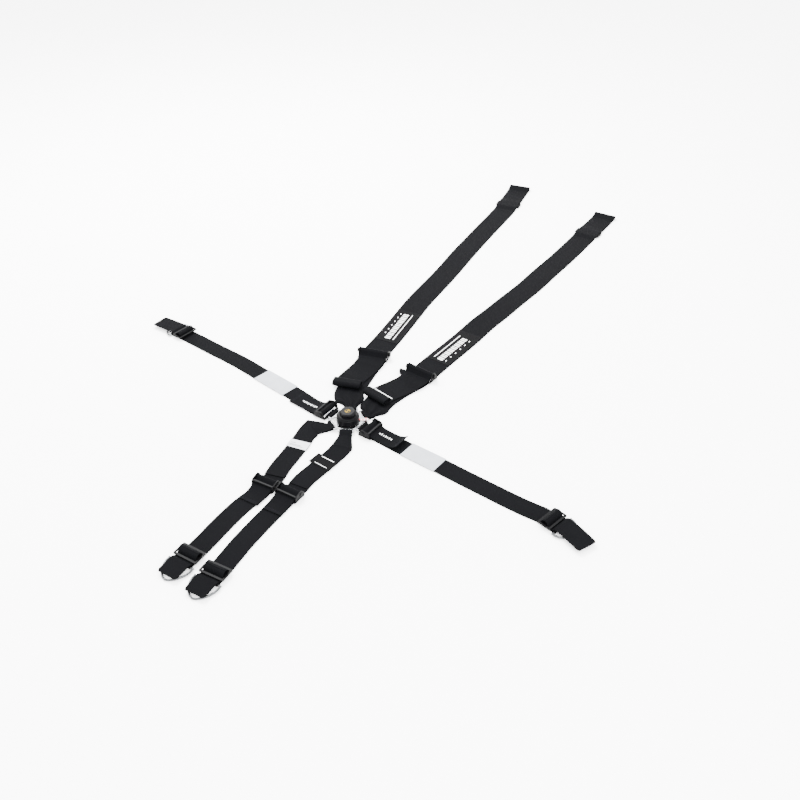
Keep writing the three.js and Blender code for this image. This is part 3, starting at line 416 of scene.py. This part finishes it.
class Ribbon:
    """A strip of webbing along sections, each (middle, direction across, width)."""

    def __init__(self, sections, ease=5, step=1.0, loose=5.0, turned=False):
        middles = np.array([s[0] for s in sections], float)
        sides = np.array([s[1] for s in sections], float)
        widths = np.array([s[2] for s in sections], float)
        gaps = np.linalg.norm(np.diff(middles, axis=0), axis=1)
        keep = np.concatenate([[True], gaps > 0.05])
        middles, sides, widths = middles[keep], sides[keep], widths[keep]
        reach = np.concatenate([[0], np.cumsum(np.linalg.norm(np.diff(middles, axis=0), axis=1))])
        count = max(int(reach[-1] / step), 4)
        at = np.linspace(0, reach[-1], count + 1)
        table = np.column_stack([middles, sides, widths])
        table = np.column_stack([np.interp(at, reach, column) for column in table.T])
        for _ in range(ease):
            inner = (table[:-2] + 2 * table[1:-1] + table[2:]) / 4
            table = np.vstack([table[:1], inner, table[-1:]])
        turn = np.gradient(table[:, :3], axis=0)
        turn /= np.linalg.norm(turn, axis=1)[:, None]
        bend = np.linalg.norm(np.gradient(turn, axis=0), axis=1)
        bend += 0.1 * np.abs(np.gradient(table[:, 6]))
        picks, waited = [0], 0.0
        for i in range(1, len(table) - 1):
            waited += step
            spread = bend[max(i - 3, 0) : i + 4].max()
            if waited >= (step * 1.5 if spread > 0.02 else loose):
                picks.append(i)
                waited = 0.0
        picks.append(len(table) - 1)
        table = table[picks]
        self.middle, self.side, self.width = table[:, :3], table[:, 3:6], table[:, 6]
        self.side /= np.linalg.norm(self.side, axis=1)[:, None]
        run = np.linalg.norm(np.diff(self.middle, axis=0), axis=1)
        self.reach = np.concatenate([[0], np.cumsum(run)])
        self.length = float(self.reach[-1])
        ahead = np.gradient(self.middle, axis=0)
        ahead /= np.linalg.norm(ahead, axis=1)[:, None]
        self.up = np.cross(ahead, self.side)
        self.up /= np.linalg.norm(self.up, axis=1)[:, None]
        if turned:
            self.up = -self.up
        self.shape = None

    def lift(self, reach, share):
        """Height of the webbing's surface above its middle line, from folds and waves."""
        return 0.0 if self.shape is None else self.shape(reach, share)

    def at(self, reach, across, height=0.0):
        """The point at a distance along the ribbon and across it, above its upper face."""
        table = np.column_stack([self.middle, self.side, self.up])
        row = np.array([np.interp(reach, self.reach, column) for column in table.T])
        width = np.interp(reach, self.reach, self.width)
        lift = self.lift(reach, 2 * across / width) + WEB / 2 + height
        return row[:3] + row[3:6] * across + row[6:9] * lift

    def mesh(self, name, columns=12, thick=WEB):
        shares = np.array([-1, -0.985, -0.94, *np.linspace(-0.82, 0.82, columns), 0.94, 0.985, 1])
        full = np.clip((1 - np.abs(shares)) / 0.05, 0, 1)
        thin = thick * (0.45 + 0.55 * np.sqrt(full))
        rows, verts, uvs = len(self.reach), [], []
        for face in (1, -1):
            for i in range(rows):
                for share, t in zip(shares, thin):
                    lift = self.lift(self.reach[i], share) + face * t / 2
                    point = self.middle[i] + self.side[i] * share * self.width[i] / 2
                    verts.append(tuple((point + self.up[i] * lift) * MM))
                    uvs.append((share * self.width[i] / 2 / 100, self.reach[i] / 100))
        k = len(shares)
        upper = lambda i, j: i * k + j
        lower = lambda i, j: rows * k + i * k + j
        faces = []
        for i in range(rows - 1):
            for j in range(k - 1):
                faces.append((upper(i, j), upper(i, j + 1), upper(i + 1, j + 1), upper(i + 1, j)))
                faces.append((lower(i, j), lower(i + 1, j), lower(i + 1, j + 1), lower(i, j + 1)))
            faces.append((upper(i, 0), upper(i + 1, 0), lower(i + 1, 0), lower(i, 0)))
            edge = k - 1
            faces.append(
                (upper(i, edge), lower(i, edge), lower(i + 1, edge), upper(i + 1, edge)))
        for j in range(k - 1):
            faces.append((upper(0, j), lower(0, j), lower(0, j + 1), upper(0, j + 1)))
            last = rows - 1
            faces.append((upper(last, j), upper(last, j + 1), lower(last, j + 1), lower(last, j)))
        return make_mesh(name, verts, faces, uvs)


def make_mesh(name, verts, faces, uvs, smooth_angle=50):
    mesh = bpy.data.meshes.new(name)
    mesh.from_pydata(verts, [], faces)
    layer = mesh.uv_layers.new(name="web")
    for loop in mesh.loops:
        layer.data[loop.index].uv = uvs[loop.vertex_index]
    work = bmesh.new()
    work.from_mesh(mesh)
    bmesh.ops.recalc_face_normals(work, faces=work.faces)
    work.to_mesh(mesh)
    work.free()
    mesh.shade_smooth()
    mesh.set_sharp_from_angle(angle=math.radians(smooth_angle))
    made = bpy.data.objects.new(name, mesh)
    bpy.context.collection.objects.link(made)
    return made


def finish_piece(piece, material, body=None, nodes=()):
    piece.data.materials.append(material)
    if nodes:
        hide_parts(*nodes)
    if body:
        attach(piece, body)
    return piece


def strip_on(ribbon, name, reach0, reach1, side0, side1, height, thick, bulge=0.0, steps=(10, 6)):
    """A thin plate that lies on a ribbon's upper face, such as a label, patch or printed mark."""
    rows, cols = steps
    verts, uvs, faces = [], [], []
    for level in (height + thick, height):
        for i in range(rows + 1):
            for j in range(cols + 1):
                a, b = i / rows, j / cols
                rim = min(1.0, 6 * min(a, 1 - a)) * min(1.0, 6 * min(b, 1 - b))
                puff = bulge * (rim ** 0.5) if level > height else 0.0
                reach, across = reach0 + (reach1 - reach0) * a, side0 + (side1 - side0) * b
                verts.append(tuple(ribbon.at(reach, across, level + puff) * MM))
                uvs.append((across / 100, reach / 100))
    k, top = cols + 1, (rows + 1) * (cols + 1)
    for i in range(rows):
        for j in range(cols):
            a, b, c, d = i * k + j, i * k + j + 1, (i + 1) * k + j + 1, (i + 1) * k + j
            faces += [(a, b, c, d), (a + top, d + top, c + top, b + top)]
        for j in (0, cols):
            a, d = i * k + j, (i + 1) * k + j
            faces.append((a, d, d + top, a + top))
    for j in range(cols):
        for i in (0, rows):
            a, b = i * k + j, i * k + j + 1
            faces.append((a, a + top, b + top, b))
    return make_mesh(name, verts, faces, uvs)


def join(pieces, name):
    verts, faces, uvs = [], [], []
    for piece in pieces:
        base = len(verts)
        mesh = piece.data
        verts += [tuple(v.co) for v in mesh.vertices]
        found = {}
        for loop in mesh.loops:
            found[loop.vertex_index] = tuple(mesh.uv_layers["web"].data[loop.index].uv)
        uvs += [found[i] for i in range(len(mesh.vertices))]
        faces += [tuple(base + v for v in p.vertices) for p in mesh.polygons]
        bpy.data.objects.remove(piece)
    return make_mesh(name, verts, faces, uvs)


def stitches(ribbon, name, line, height=0.0, length=3.0, gap=1.1, half=0.45):
    """A row of short raised threads along a line of (reach, across) points on a ribbon."""
    verts, faces, uvs = [], [], []
    for (r0, a0), (r1, a1) in zip(line, line[1:]):
        total = math.hypot(r1 - r0, a1 - a0)
        count = max(int(total / (length + gap)), 1)
        for n in range(count):
            s0, s1 = n * (length + gap) / total, (n * (length + gap) + length) / total
            if s1 > 1.001:
                continue
            normal = np.array([-(a1 - a0), r1 - r0]) / total * half
            base = len(verts)
            for s, rise, spread in ((s0, 0.05, 0.5), ((s0 + s1) / 2, 0.5, 1.0), (s1, 0.05, 0.5)):
                reach, across = r0 + (r1 - r0) * s, a0 + (a1 - a0) * s
                for sign, up in ((-1, 0.0), (0, rise), (1, 0.0), (0, -0.25)):
                    point = ribbon.at(
                        reach + sign * spread * normal[0],
                        across + sign * spread * normal[1],
                        height + up,
                    )
                    verts.append(tuple(point * MM))
                    uvs.append((across / 100, reach / 100))
            for ring in (0, 4):
                for m in range(4):
                    a, b = base + ring + m, base + ring + (m + 1) % 4
                    faces.append((a, b, b + 4, a + 4))
            faces.append((base, base + 3, base + 2, base + 1))
            faces.append((base + 8, base + 9, base + 10, base + 11))
    return make_mesh(name, verts, faces, uvs, 80)


def wave(*terms):
    """Sum of slow rises: each term is (amplitude, wavelength, phase, tilt across)."""

    def shape(reach, share):
        total = 0.0
        for amplitude, wavelength, phase, tilt in terms:
            swing = 0.5 + 0.5 * math.sin(2 * math.pi * reach / wavelength + phase)
            total += amplitude * swing * ((1 - tilt) + tilt * (share + 1) / 2)
        return total

    return shape


# ---------------------------------------------------------------- belts

ADJUSTER_REACH = 69.0
BELTS = {
    "shoulder_left": dict(slot=120, web=SHOULDER_WEB, adjuster=(-112, 268), heading=107),
    "shoulder_right": dict(slot=60, web=SHOULDER_WEB, adjuster=(42, 264), heading=87),
    "lap_left": dict(slot=180, web=WAIST_WEB, adjuster=(-ADJUSTER_REACH, 0), heading=180),
    "lap_right": dict(slot=0, web=WAIST_WEB, adjuster=(ADJUSTER_REACH, 0), heading=0),
    "sub_left": dict(slot=240, web=WAIST_WEB, adjuster=(-15, -286), heading=275),
    "sub_right": dict(slot=300, web=WAIST_WEB, adjuster=(49, -281), heading=272),
}
SHOULDER_LEFT_ROUTE = [
    (-131, 362), (-155, 496), (-171, 583), (-193, 757), (-222, 946), (-242, 1093),
    (-255, 1200), (-268, 1302),
]
SHOULDER_ENDS = {"shoulder_left": (-312, 1507), "shoulder_right": (55, 1456)}
SHOULDER_RIGHT_ROUTE = [
    (45, 359), (50, 492), (50, 578), (55, 664), (58, 750), (63, 854), (63, 958), (64, 1062),
    (63, 1180),
]
# Each waist belt: route, slide, heading at the slide, flap's reach, flap's turn,
# then its tail's heading, length and curl.
WAIST_ENDS = {
    "lap_left": (
        [(-180, 15), (-290, 30), (-401, 45), (-511, 53), (-560, 57)],
        (-622, 61), 177, 104, 3, (175, 70, 0)),
    "lap_right": (
        [(170, -6), (270, -12), (371, -19), (471, -25), (508, -26)],
        (566, -31), -12, 104, -9, (-2, 62, 12)),
    "sub_left": ([(-16, -369), (-10, -451), (-7, -475)], (-3, -534), 273, 70, 0, (273, 34, 0)),
    "sub_right": ([(53, -367), (61, -452), (65, -478)], (73, -538), 276, 70, 0, (275, 34, 0)),
}
SEAM = 29.5  # from an adjuster's middle to where the belt's next length starts


def belt_body(name):
    return "buckle" if name == "lap_left" else name + "_belt"


def tilt_blend(piece):
    """Bakes the piece's transform into its mesh."""
    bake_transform(piece)


def seam_point(name, heading, side):
    """Where a belt's next length starts, clear of the webbing that its adjuster holds."""
    belt = BELTS[name]
    askew = abs(math.sin(math.radians(heading - belt["heading"])))
    return along(belt["adjuster"], belt["heading"], side * (SEAM + belt["web"] / 2 * askew))


EYE = [(16, 2.7), (4.4, 9.3), (0, 9.3), (-1.3, 8.2), (-1.3, 4.8), (0, 3.7), (4.4, 3.7), (16, 0.9)]
CROSSBAR_EYE = [
    (-29, 2.7), (-19.4, 6.0), (-13, 6.0), (-11.7, 4.9), (-11.7, 2.0), (-13, 0.9), (-29, 0.9),
]


PLEAT_DEPTH = {SHOULDER_WEB: 4.2, WAIST_WEB: 2.0}


def pleats(bar, depth, folds, crease=None):
    """Lengthwise folds, deepest a little way from the tongue's bar, and a folded corner."""

    def shape(reach, share):
        away = abs(reach - bar)
        rise = math.exp(-(((away - 34) / 36) ** 2)) * min(away / 12, 1)
        lift = depth * rise * (0.5 - 0.5 * math.cos(folds * math.pi * (share + 1)))
        if crease is not None:
            lift += 1.5 * math.exp(-(((reach - crease) / 2.6) ** 2))
        return lift * (reach > bar)

    return shape


def folded_plan(start, corner, route, z, web):
    """Sections that widen as far as a mitred corner and keep their width after it."""
    into, out = heading_of(start, corner), heading_of(corner, route[0])
    half = math.radians((out - into + 180) % 360 - 180) / 2
    bisector = math.radians(into) + half

    def section(point, angle, width):
        side = np.array([-math.sin(angle), math.cos(angle), 0.0])
        return (np.array([point[0], point[1], z]), side, width)

    first = section(start, math.radians(into), GATHERED_WEB)
    mitre = section(corner, bisector, web / math.cos(half))
    return [first, mitre] + plan(route, z, web, web)


def connector(name, suffix, route, folds, corner=None):
    """Doubled webbing from a tongue's bar to an adjuster's crossbar, sewn to itself."""
    belt = BELTS[name]
    web = belt["web"]
    bar = along((0, 0), belt["slot"], TONGUE_BAR)
    start = along(bar, belt["slot"], TONGUE_EYE)
    end = along(belt["adjuster"], belt["heading"], CROSSBAR_SEAM)
    if corner:
        lower = folded_plan(start, corner, [*route, end], FLAT, web)
        upper = folded_plan(start, corner, [*route, end], SECOND, web)
    else:
        lower = plan([start, *route, end], FLAT, GATHERED_WEB, web)
        upper = plan([start, *route, end], SECOND, GATHERED_WEB, web)
    crossbar = profile(belt["adjuster"], belt["heading"], CROSSBAR_EYE, web)
    tongue = profile(bar, belt["slot"], EYE[::-1], GATHERED_WEB)
    ribbon = Ribbon(crossbar[1:] + lower[::-1][1:] + tongue[1:-1] + upper[:-1])
    distances = np.linalg.norm(ribbon.middle[:, :2] - np.array(bar), axis=1)
    ribbon.turn_at = float(ribbon.reach[int(np.argmin(distances))])
    crease = reach_past(ribbon, corner, ribbon.turn_at) if corner else None
    ribbon.shape = pleats(ribbon.turn_at, PLEAT_DEPTH[web], folds, crease)
    piece = ribbon.mesh(name + "_" + suffix + "_web", columns=16)
    finish_piece(piece, WEBBING, belt_body(name), [name + "_" + suffix])
    return ribbon


def reach_past(ribbon, point, past=-1.0):
    """Distance along a ribbon to the place nearest a point in plan, beyond a given reach."""
    gaps = np.linalg.norm(ribbon.middle[:, :2] - np.array(point, float), axis=1)
    gaps = np.where(ribbon.reach > past, gaps, 1e9)
    return float(ribbon.reach[int(np.argmin(gaps))])


LINK = [
    (47, 9.1), (43, 9.3), (41.4, 8.4), (40.7, 6.5), (41.4, 4.4), (43, 3.6), (47, 3.0), (50, 1.2),
    (56, 0.95), (57.3, 2.0), (57.3, 4.9), (56, 6.0), (50, 6.4), (47.3, 8.6),
]


def lap_link(name):
    ribbon = Ribbon(profile((0, 0), BELTS[name]["slot"], LINK, GATHERED_WEB), ease=2)
    piece = ribbon.mesh(name + "_link_web", columns=10)
    finish_piece(piece, WEBBING, belt_body(name), [name + "_link"])


# The webbing at a lock bar is cut at the bar's top: one side goes on as the belt, the other
# as the tail. Each line is (u, z) in the adjuster's frame.
SHOULDER_TURN = arc(1, 15.5, 6.8, 95, 0, 6) + [(11.5, FLAT), (27, FLAT)]
SHOULDER_TURN_IN = arc(1, 15.5, 6.8, 95, 165, 5) + [(-13, 8.1), (-27, 8.1)]
WAIST_TURN = arc(-5.5, 12.5, 5.8, 95, 200, 7) + [(-7.5, 4.2), (-1.5, FLAT), (27, FLAT)]
WAIST_TURN_OUT = arc(-5.5, 12.5, 5.8, 95, 45, 3) + [(3.5, 12), (10, 10), (17, 8), (27, 5)]


def shoulder_strap(name, route, end, slide_back=160.0, loop=5.5):
    belt = BELTS[name]
    web = belt["web"]
    start = seam_point(name, heading_of(belt["adjuster"], route[0]), 1)
    heading = heading_of(route[-1], end)
    turn = profile(belt["adjuster"], belt["heading"], SHOULDER_TURN, web)
    flat = plan([start, *route], FLAT, web, web)
    line = [
        (-slide_back - 44, FLAT), (-slide_back - 22, 5.8), (-slide_back + 22, 5.8),
        (-slide_back + 50, 3.0), (-30, 3.0), *arc(-loop, loop + FLAT, loop, 90, -90, 8),
        (-slide_back - 20, FLAT),
    ]
    ribbon = Ribbon(turn + flat[:-1] + profile(end, heading, line, web))
    ribbon.shape = wave((0.5, 210, 0.4, 0.0), (0.9, 330, 1.1, 1.0))
    piece = ribbon.mesh(name + "_strap_web")
    finish_piece(piece, WEBBING, None, [name + "_strap", name + "_strap_turn"])
    tilt_blend(piece)
    return ribbon


TAIL_BOTTOM = 4.9
PAD = (
    [(22, TAIL_BOTTOM), (8, TAIL_BOTTOM)]
    + arc(-7, TAIL_BOTTOM + 7.6, 7.6, -90, -270, 9)
    + arc(7, TAIL_BOTTOM + 9.2, 5.6, 90, -90, 8)
    + arc(-6, TAIL_BOTTOM + 6.4, 2.6, -90, -270, 5)
    + [(4, TAIL_BOTTOM + 9.0)]
)


def shoulder_tail(name, heading, length, skew):
    """The tail runs back over the lower strap and ends in a flattened, sewn roll."""
    belt = BELTS[name]
    web = belt["web"] - 1
    start = seam_point(name, heading, -1)
    turn = profile(belt["adjuster"], belt["heading"], SHOULDER_TURN_IN, belt["web"])
    rest = profile(start, heading, [(-1, 8.0), (-6, 7.9), (-20, TAIL_BOTTOM)], web)
    pad_heading = heading + skew
    pad = profile(along(start, heading, -length), pad_heading, PAD, web)
    ribbon = Ribbon(turn + rest + pad, ease=4, turned=True)
    ribbon.shape = wave((0.7, 64, 2.2, 0.4))
    piece = ribbon.mesh(name + "_tail_web")
    finish_piece(piece, WEBBING, None, [name + "_tail"])
    tilt_blend(piece)
    seam = reach_past(ribbon, along(start, heading, -length + 24))
    stitch = strip_on(
        ribbon, name + "_tail_stitch", seam, seam + 1.8, -30, 33, 0.15, 0.25, steps=(1, 12))
    finish_piece(stitch, WHITE_PRINT, belt_body(name))
    return ribbon


SLIDE_RETURN = [(19, 4.2), (14, 3.1), (-7, 3.1)]
HUMP_UP = [(-8, 6), (-9.5, 13), (-6.5, 17.6), (-1, 18.6)]
HUMP_DOWN = [(-1, 18.6), (4, 16.6), (7, 12.5), (8.5, 7)]
FLAP_RISE = [(14.5, 5.6), (18, 5.9), (20, 8.2), (25.5, 11.9), (34, 11.2)]
FLAP_CORNER = 9.0


def waist_strap(name, route, slide_at, heading):
    belt = BELTS[name]
    web = belt["web"]
    turn = profile(belt["adjuster"], belt["heading"], WAIST_TURN, web)
    start = seam_point(name, heading_of(belt["adjuster"], route[0]), 1)
    joint = along(slide_at, heading, -27)
    flat = plan([start, *route, joint], FLAT, web, web)
    line = [(-20, FLAT), (26, FLAT), *arc(26, 4.95, 3.55, -60, 127, 8), *SLIDE_RETURN, *HUMP_UP]
    ribbon = Ribbon(turn + flat + profile(slide_at, heading, line, web), ease=3)
    ribbon.shape = wave((0.4, 170, 0.9, 0.0), (0.6, 260, 2.0, 1.0))
    piece = ribbon.mesh(name + "_strap_web", columns=8)
    finish_piece(piece, WEBBING, None, [name + "_strap", name + "_strap_turn"])
    tilt_blend(piece)
    return ribbon


def waist_tail(name, heading, length, curl):
    belt = BELTS[name]
    web = belt["web"]
    start = seam_point(name, heading, 1)
    line = [
        (1, 4.6), (0.25 * length, ON_STRAP), (0.6 * length, ON_STRAP),
        (0.82 * length, ON_STRAP + 0.35 * curl), (length, ON_STRAP + curl),
    ]
    turn = profile(belt["adjuster"], belt["heading"], WAIST_TURN_OUT, web)
    ribbon = Ribbon(turn + profile(start, heading, line, web), ease=3)
    piece = ribbon.mesh(name + "_tail_web", columns=8)
    finish_piece(piece, WEBBING, None, [name + "_tail"])
    tilt_blend(piece)
    end = ribbon.length
    rows = [[(end - inset, -web / 2 + 3), (end - inset, web / 2 - 3)] for inset in (4.0, 7.5)]
    thread = join([stitches(ribbon, "row", row, 0.0) for row in rows], name + "_tail_thread")
    finish_piece(thread, THREAD, belt_body(name))
    return ribbon


def waist_flap(name, slide_at, heading, flap, bend):
    """The free end beyond the hump, over the ring, with rounded corners."""
    web = WAIST_WEB
    sections = profile(slide_at, heading, HUMP_DOWN + FLAP_RISE, web)
    middle, turned = along(slide_at, heading, FLAP_START), heading
    length = flap - FLAP_START
    stops = [length * i / 5 for i in range(1, 5)]
    stops += [length - FLAP_CORNER * math.cos(math.radians(a)) for a in (0, 25, 45, 62, 78)]
    last = 0.0
    for stop in sorted(stops):
        turned = heading + bend * 1.3 * min(stop / length + 0.4, 1.0)
        middle = along(middle, turned, stop - last)
        last = stop
        short = max(FLAP_CORNER - (length - stop), 0.0)
        cut = FLAP_CORNER - math.sqrt(max(FLAP_CORNER**2 - short**2, 0.0))
        height = 11.2 - 1.8 * stop / length
        sections += profile(middle, turned, [(0, height)], web - 2 * cut)
    ribbon = Ribbon(sections, ease=2)
    piece = ribbon.mesh(name + "_flap_web", columns=8)
    piece.data.materials.append(WEBBING)
    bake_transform(piece)
    return ribbon


RIBBONS = {
    "shoulder_left_lower": connector(
        "shoulder_left", "lower_strap",
        [(-42, 68), (-64, 88), (-76, 118), (-90, 170), (-98, 205)], 3),
    "shoulder_right_lower": connector(
        "shoulder_right", "lower_strap", [(26, 66), (20, 92), (19, 125), (25, 170), (34, 210)], 3),
    "sub_left_upper": connector(
        "sub_left", "upper_strap",
        [(-53, -100), (-44, -136), (-35, -180), (-28, -220)], 1, (-58, -66)),
    "sub_right_upper": connector(
        "sub_right", "upper_strap", [(49, -112), (48, -150), (46, -190), (45, -225)], 1, (47, -86)),
    "shoulder_left": shoulder_strap(
        "shoulder_left", SHOULDER_LEFT_ROUTE, SHOULDER_ENDS["shoulder_left"]),
    "shoulder_right": shoulder_strap(
        "shoulder_right", SHOULDER_RIGHT_ROUTE, SHOULDER_ENDS["shoulder_right"]),
    "shoulder_left_tail": shoulder_tail("shoulder_left", 95.6, 116, 13),
    "shoulder_right_tail": shoulder_tail("shoulder_right", 73, 116, 7),
}
lap_link("lap_left")
lap_link("lap_right")
for name, (route, slide_at, heading, flap, bend, tail) in WAIST_ENDS.items():
    RIBBONS[name] = waist_strap(name, route, slide_at, heading)
    RIBBONS[name + "_tail"] = waist_tail(name, *tail)
    RIBBONS[name + "_flap"] = waist_flap(name, slide_at, heading, flap, bend)

# ---------------------------------------------------------------- labels, patches and marks


PRINT_THICK = 0.12


def marks(ribbon, name, cells, height, material, body, steps=(2, 1)):
    """Plain printed blocks: (reach, across, length, width) each."""
    made = []
    for reach, across, length, width in cells:
        place = (reach, reach + length, across, across + width)
        made.append(strip_on(ribbon, "mark", *place, height, PRINT_THICK, steps=steps))
    return finish_piece(join(made, name), material, body)


def lap_label(name, first, last):
    """A pale paper sleeve round the belt, a little loose."""
    ribbon = RIBBONS[name]
    r0, r1 = sorted((reach_past(ribbon, first), reach_past(ribbon, last)))
    half = WAIST_WEB / 2 + 1.0
    piece = strip_on(ribbon, name + "_label", r0, r1, -half, half, 0.15, 0.5, 2.6, (20, 12))
    finish_piece(piece, LABEL, belt_body(name))


def shoulder_patch(name, start, row, line, dots):
    """A sewn patch with a row of plain bars, a line on one side and dots on the other.
    row, line and dots are (first, last, across) from the patch's start."""
    ribbon = RIBBONS[name]
    zero = reach_past(ribbon, start)
    r0, r1 = zero - 14, zero + 156
    patch = strip_on(ribbon, name + "_patch", r0, r1, -34, 34, 0.1, 0.6, 0.0, (28, 8))
    finish_piece(patch, PATCH, belt_body(name))
    first, last, across = row
    count, tall = 8, 16
    pitch = (last - first) / count
    cells = []
    for i in range(count):
        at = zero + first + i * pitch
        cells.append((at, across - tall / 2, pitch * 0.28, tall))
        if i % 3 == 1:
            cells.append((at + pitch * 0.45, across - tall / 2, pitch * 0.28, tall * 0.44))
            cells.append((at + pitch * 0.45, across + tall * 0.06, pitch * 0.28, tall * 0.44))
        else:
            cells.append((at + pitch * 0.45, across - tall / 2, pitch * 0.28, tall))
    cells.append((zero + line[0], line[2] - 1.0, line[1] - line[0], 2.0))
    step = (dots[1] - dots[0] - 7) / 5
    cells += [(zero + dots[0] + i * step, dots[2] - 1.2, 5.0, 2.4) for i in range(6)]
    marks(ribbon, name + "_print", cells, 0.75, WHITE_PRINT, belt_body(name))
    edge = [(r0 + 2, -32), (r1 - 2, -32), (r1 - 2, 32), (r0 + 2, 32), (r0 + 2, -32)]
    thread = stitches(ribbon, name + "_patch_thread", edge, 0.7)
    finish_piece(thread, THREAD, belt_body(name))


def upper_label(name, centre, material, length, across):
    """A label across a crotch belt's upper strap, from edge to edge."""
    ribbon = RIBBONS[name + "_upper"]
    middle = reach_past(ribbon, centre, ribbon.turn_at + 10)
    r0 = middle - length / 2
    label = strip_on(ribbon, name + "_label", r0, r0 + length, *across, 0.3, 0.4, 0.3)
    finish_piece(label, material, belt_body(name))
    return ribbon, r0


lap_label("lap_left", (-201, 15), (-308, 32))
lap_label("lap_right", (176, -6), (272, -12))
shoulder_patch("shoulder_left", (-131, 362), (1, 143, 3), (0, 141, -15), (24, 140, 20))
shoulder_patch("shoulder_right", (45, 359), (-3, 128, 0), (0, 130, 20), (0, 124, -17))

for name, end in SHOULDER_ENDS.items():
    cells = [(reach_past(RIBBONS[name], end) - 5, -36, 2.6, 72)]
    marks(RIBBONS[name], name + "_end_edge", cells, 0.2, END_EDGE, belt_body(name), (1, 8))

# Each lap tail's row of marks: first reach, count, height across the belt, place across it.
LAP_MARKS = {"lap_left": (36, 9, 6.0, 2.0), "lap_right": (34, 7, 5.5, 2.0)}
LAP_MARK_PITCH = 5.6
for name, (first, count, tall, across) in LAP_MARKS.items():
    cells = []
    for i in range(count):
        long, high = 2.0 if i % 3 else 2.8, tall if i % 2 else tall - 1.5
        cells.append((first + i * LAP_MARK_PITCH, across - tall / 2, long, high))
    ribbon, title = RIBBONS[name + "_tail"], name + "_tail_marks"
    marks(ribbon, title, cells, 0.05, WHITE_PRINT, belt_body(name), (1, 1))

ribbon, r0 = upper_label("sub_left", (-41, -135), WHITE_LABEL, 27, (-25.6, 25.6))
cells = [(r0 + 16.5, -20, 1.6, 28), (r0 + 20.5, -20, 1.4, 34), (r0 + 10.5, -20, 1.4, 12)]
marks(ribbon, "sub_left_label_print", cells, 1.0, GREY_PRINT, belt_body("sub_left"), (1, 4))
ribbon, r0 = upper_label("sub_right", (49, -157), PATCH, 36, (-33, 25.6))
cells = [(r0 + 4, -19, 1.6, 36), (r0 + 30, -19, 1.0, 36)]
marks(ribbon, "sub_right_label_print", cells, 1.0, WHITE_PRINT, belt_body("sub_right"), (1, 4))


def sewn_rows(ribbon, name, body, rows, height=0.0):
    pieces = [stitches(ribbon, "row", row, height) for row in rows]
    finish_piece(join(pieces, name), THREAD, body)


SEWN_END = {"shoulder_left": SHOULDER_LEFT_ROUTE[-1], "shoulder_right": (62, 1190)}
for name in SHOULDER_ENDS:
    ribbon = RIBBONS[name]
    slide_end = reach_past(ribbon, SEWN_END[name])
    rows = [[(slide_end + back, -33), (slide_end + back, 33)] for back in (118, 124)]
    sewn_rows(ribbon, name + "_end_thread", belt_body(name), rows)

# The right lower strap's sewn end sticks out beside the adjuster as a small pointed tab.
tab = [(30, 242), (14, 243), (2, 245), (-8, 249), (-16, 254)]
tab_sections = plan(tab, 7.2, 34, 34)
widths = np.interp(np.linspace(0, 1, len(tab_sections)), [0, 0.55, 0.8, 1], [32, 27, 14, 4])
tab_sections = [(m, s, w) for (m, s, _), w in zip(tab_sections, widths)]
tab_ribbon = Ribbon(tab_sections, ease=1)
tab_ribbon.shape = wave((2.2, 30, 0.0, 1.0))
tab_piece = tab_ribbon.mesh("shoulder_right_tab", columns=6)
finish_piece(tab_piece, WEBBING, belt_body("shoulder_right"))

# The ribbon tag waves out from the housing's side.
TAG_WAVE = [(28.3, 11.5), (36, 9.6), (44, 12.5), (51, 9.6)]
tag_line = [(u, z) for u, z in np.array(catmull(TAG_WAVE, 6))]
tag_ribbon = Ribbon(profile((0, 0), 30, tag_line, 7.0), ease=1, step=0.5)
tag_piece = tag_ribbon.mesh("care_tag_ribbon", columns=4, thick=0.7)
finish_piece(tag_piece, TAG, "buckle", ["care_tag"])

# ---------------------------------------------------------------- CAD nodes that stay

CHROME_NODES = ("latch_plate", "latch_spring", "centre_bolt")
for name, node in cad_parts.items():
    if name in ("buckle_housing", "release_knob"):
        material = PLASTIC
    elif name == "knob_emblem":
        material = GOLD
    elif name.endswith("_anchor_ring"):
        material = RING_STEEL
    elif name.endswith("_tongue") or name in CHROME_NODES:
        material = CHROME
    else:
        material = BLACK_STEEL
    node.data.materials.clear()
    node.data.materials.append(material)
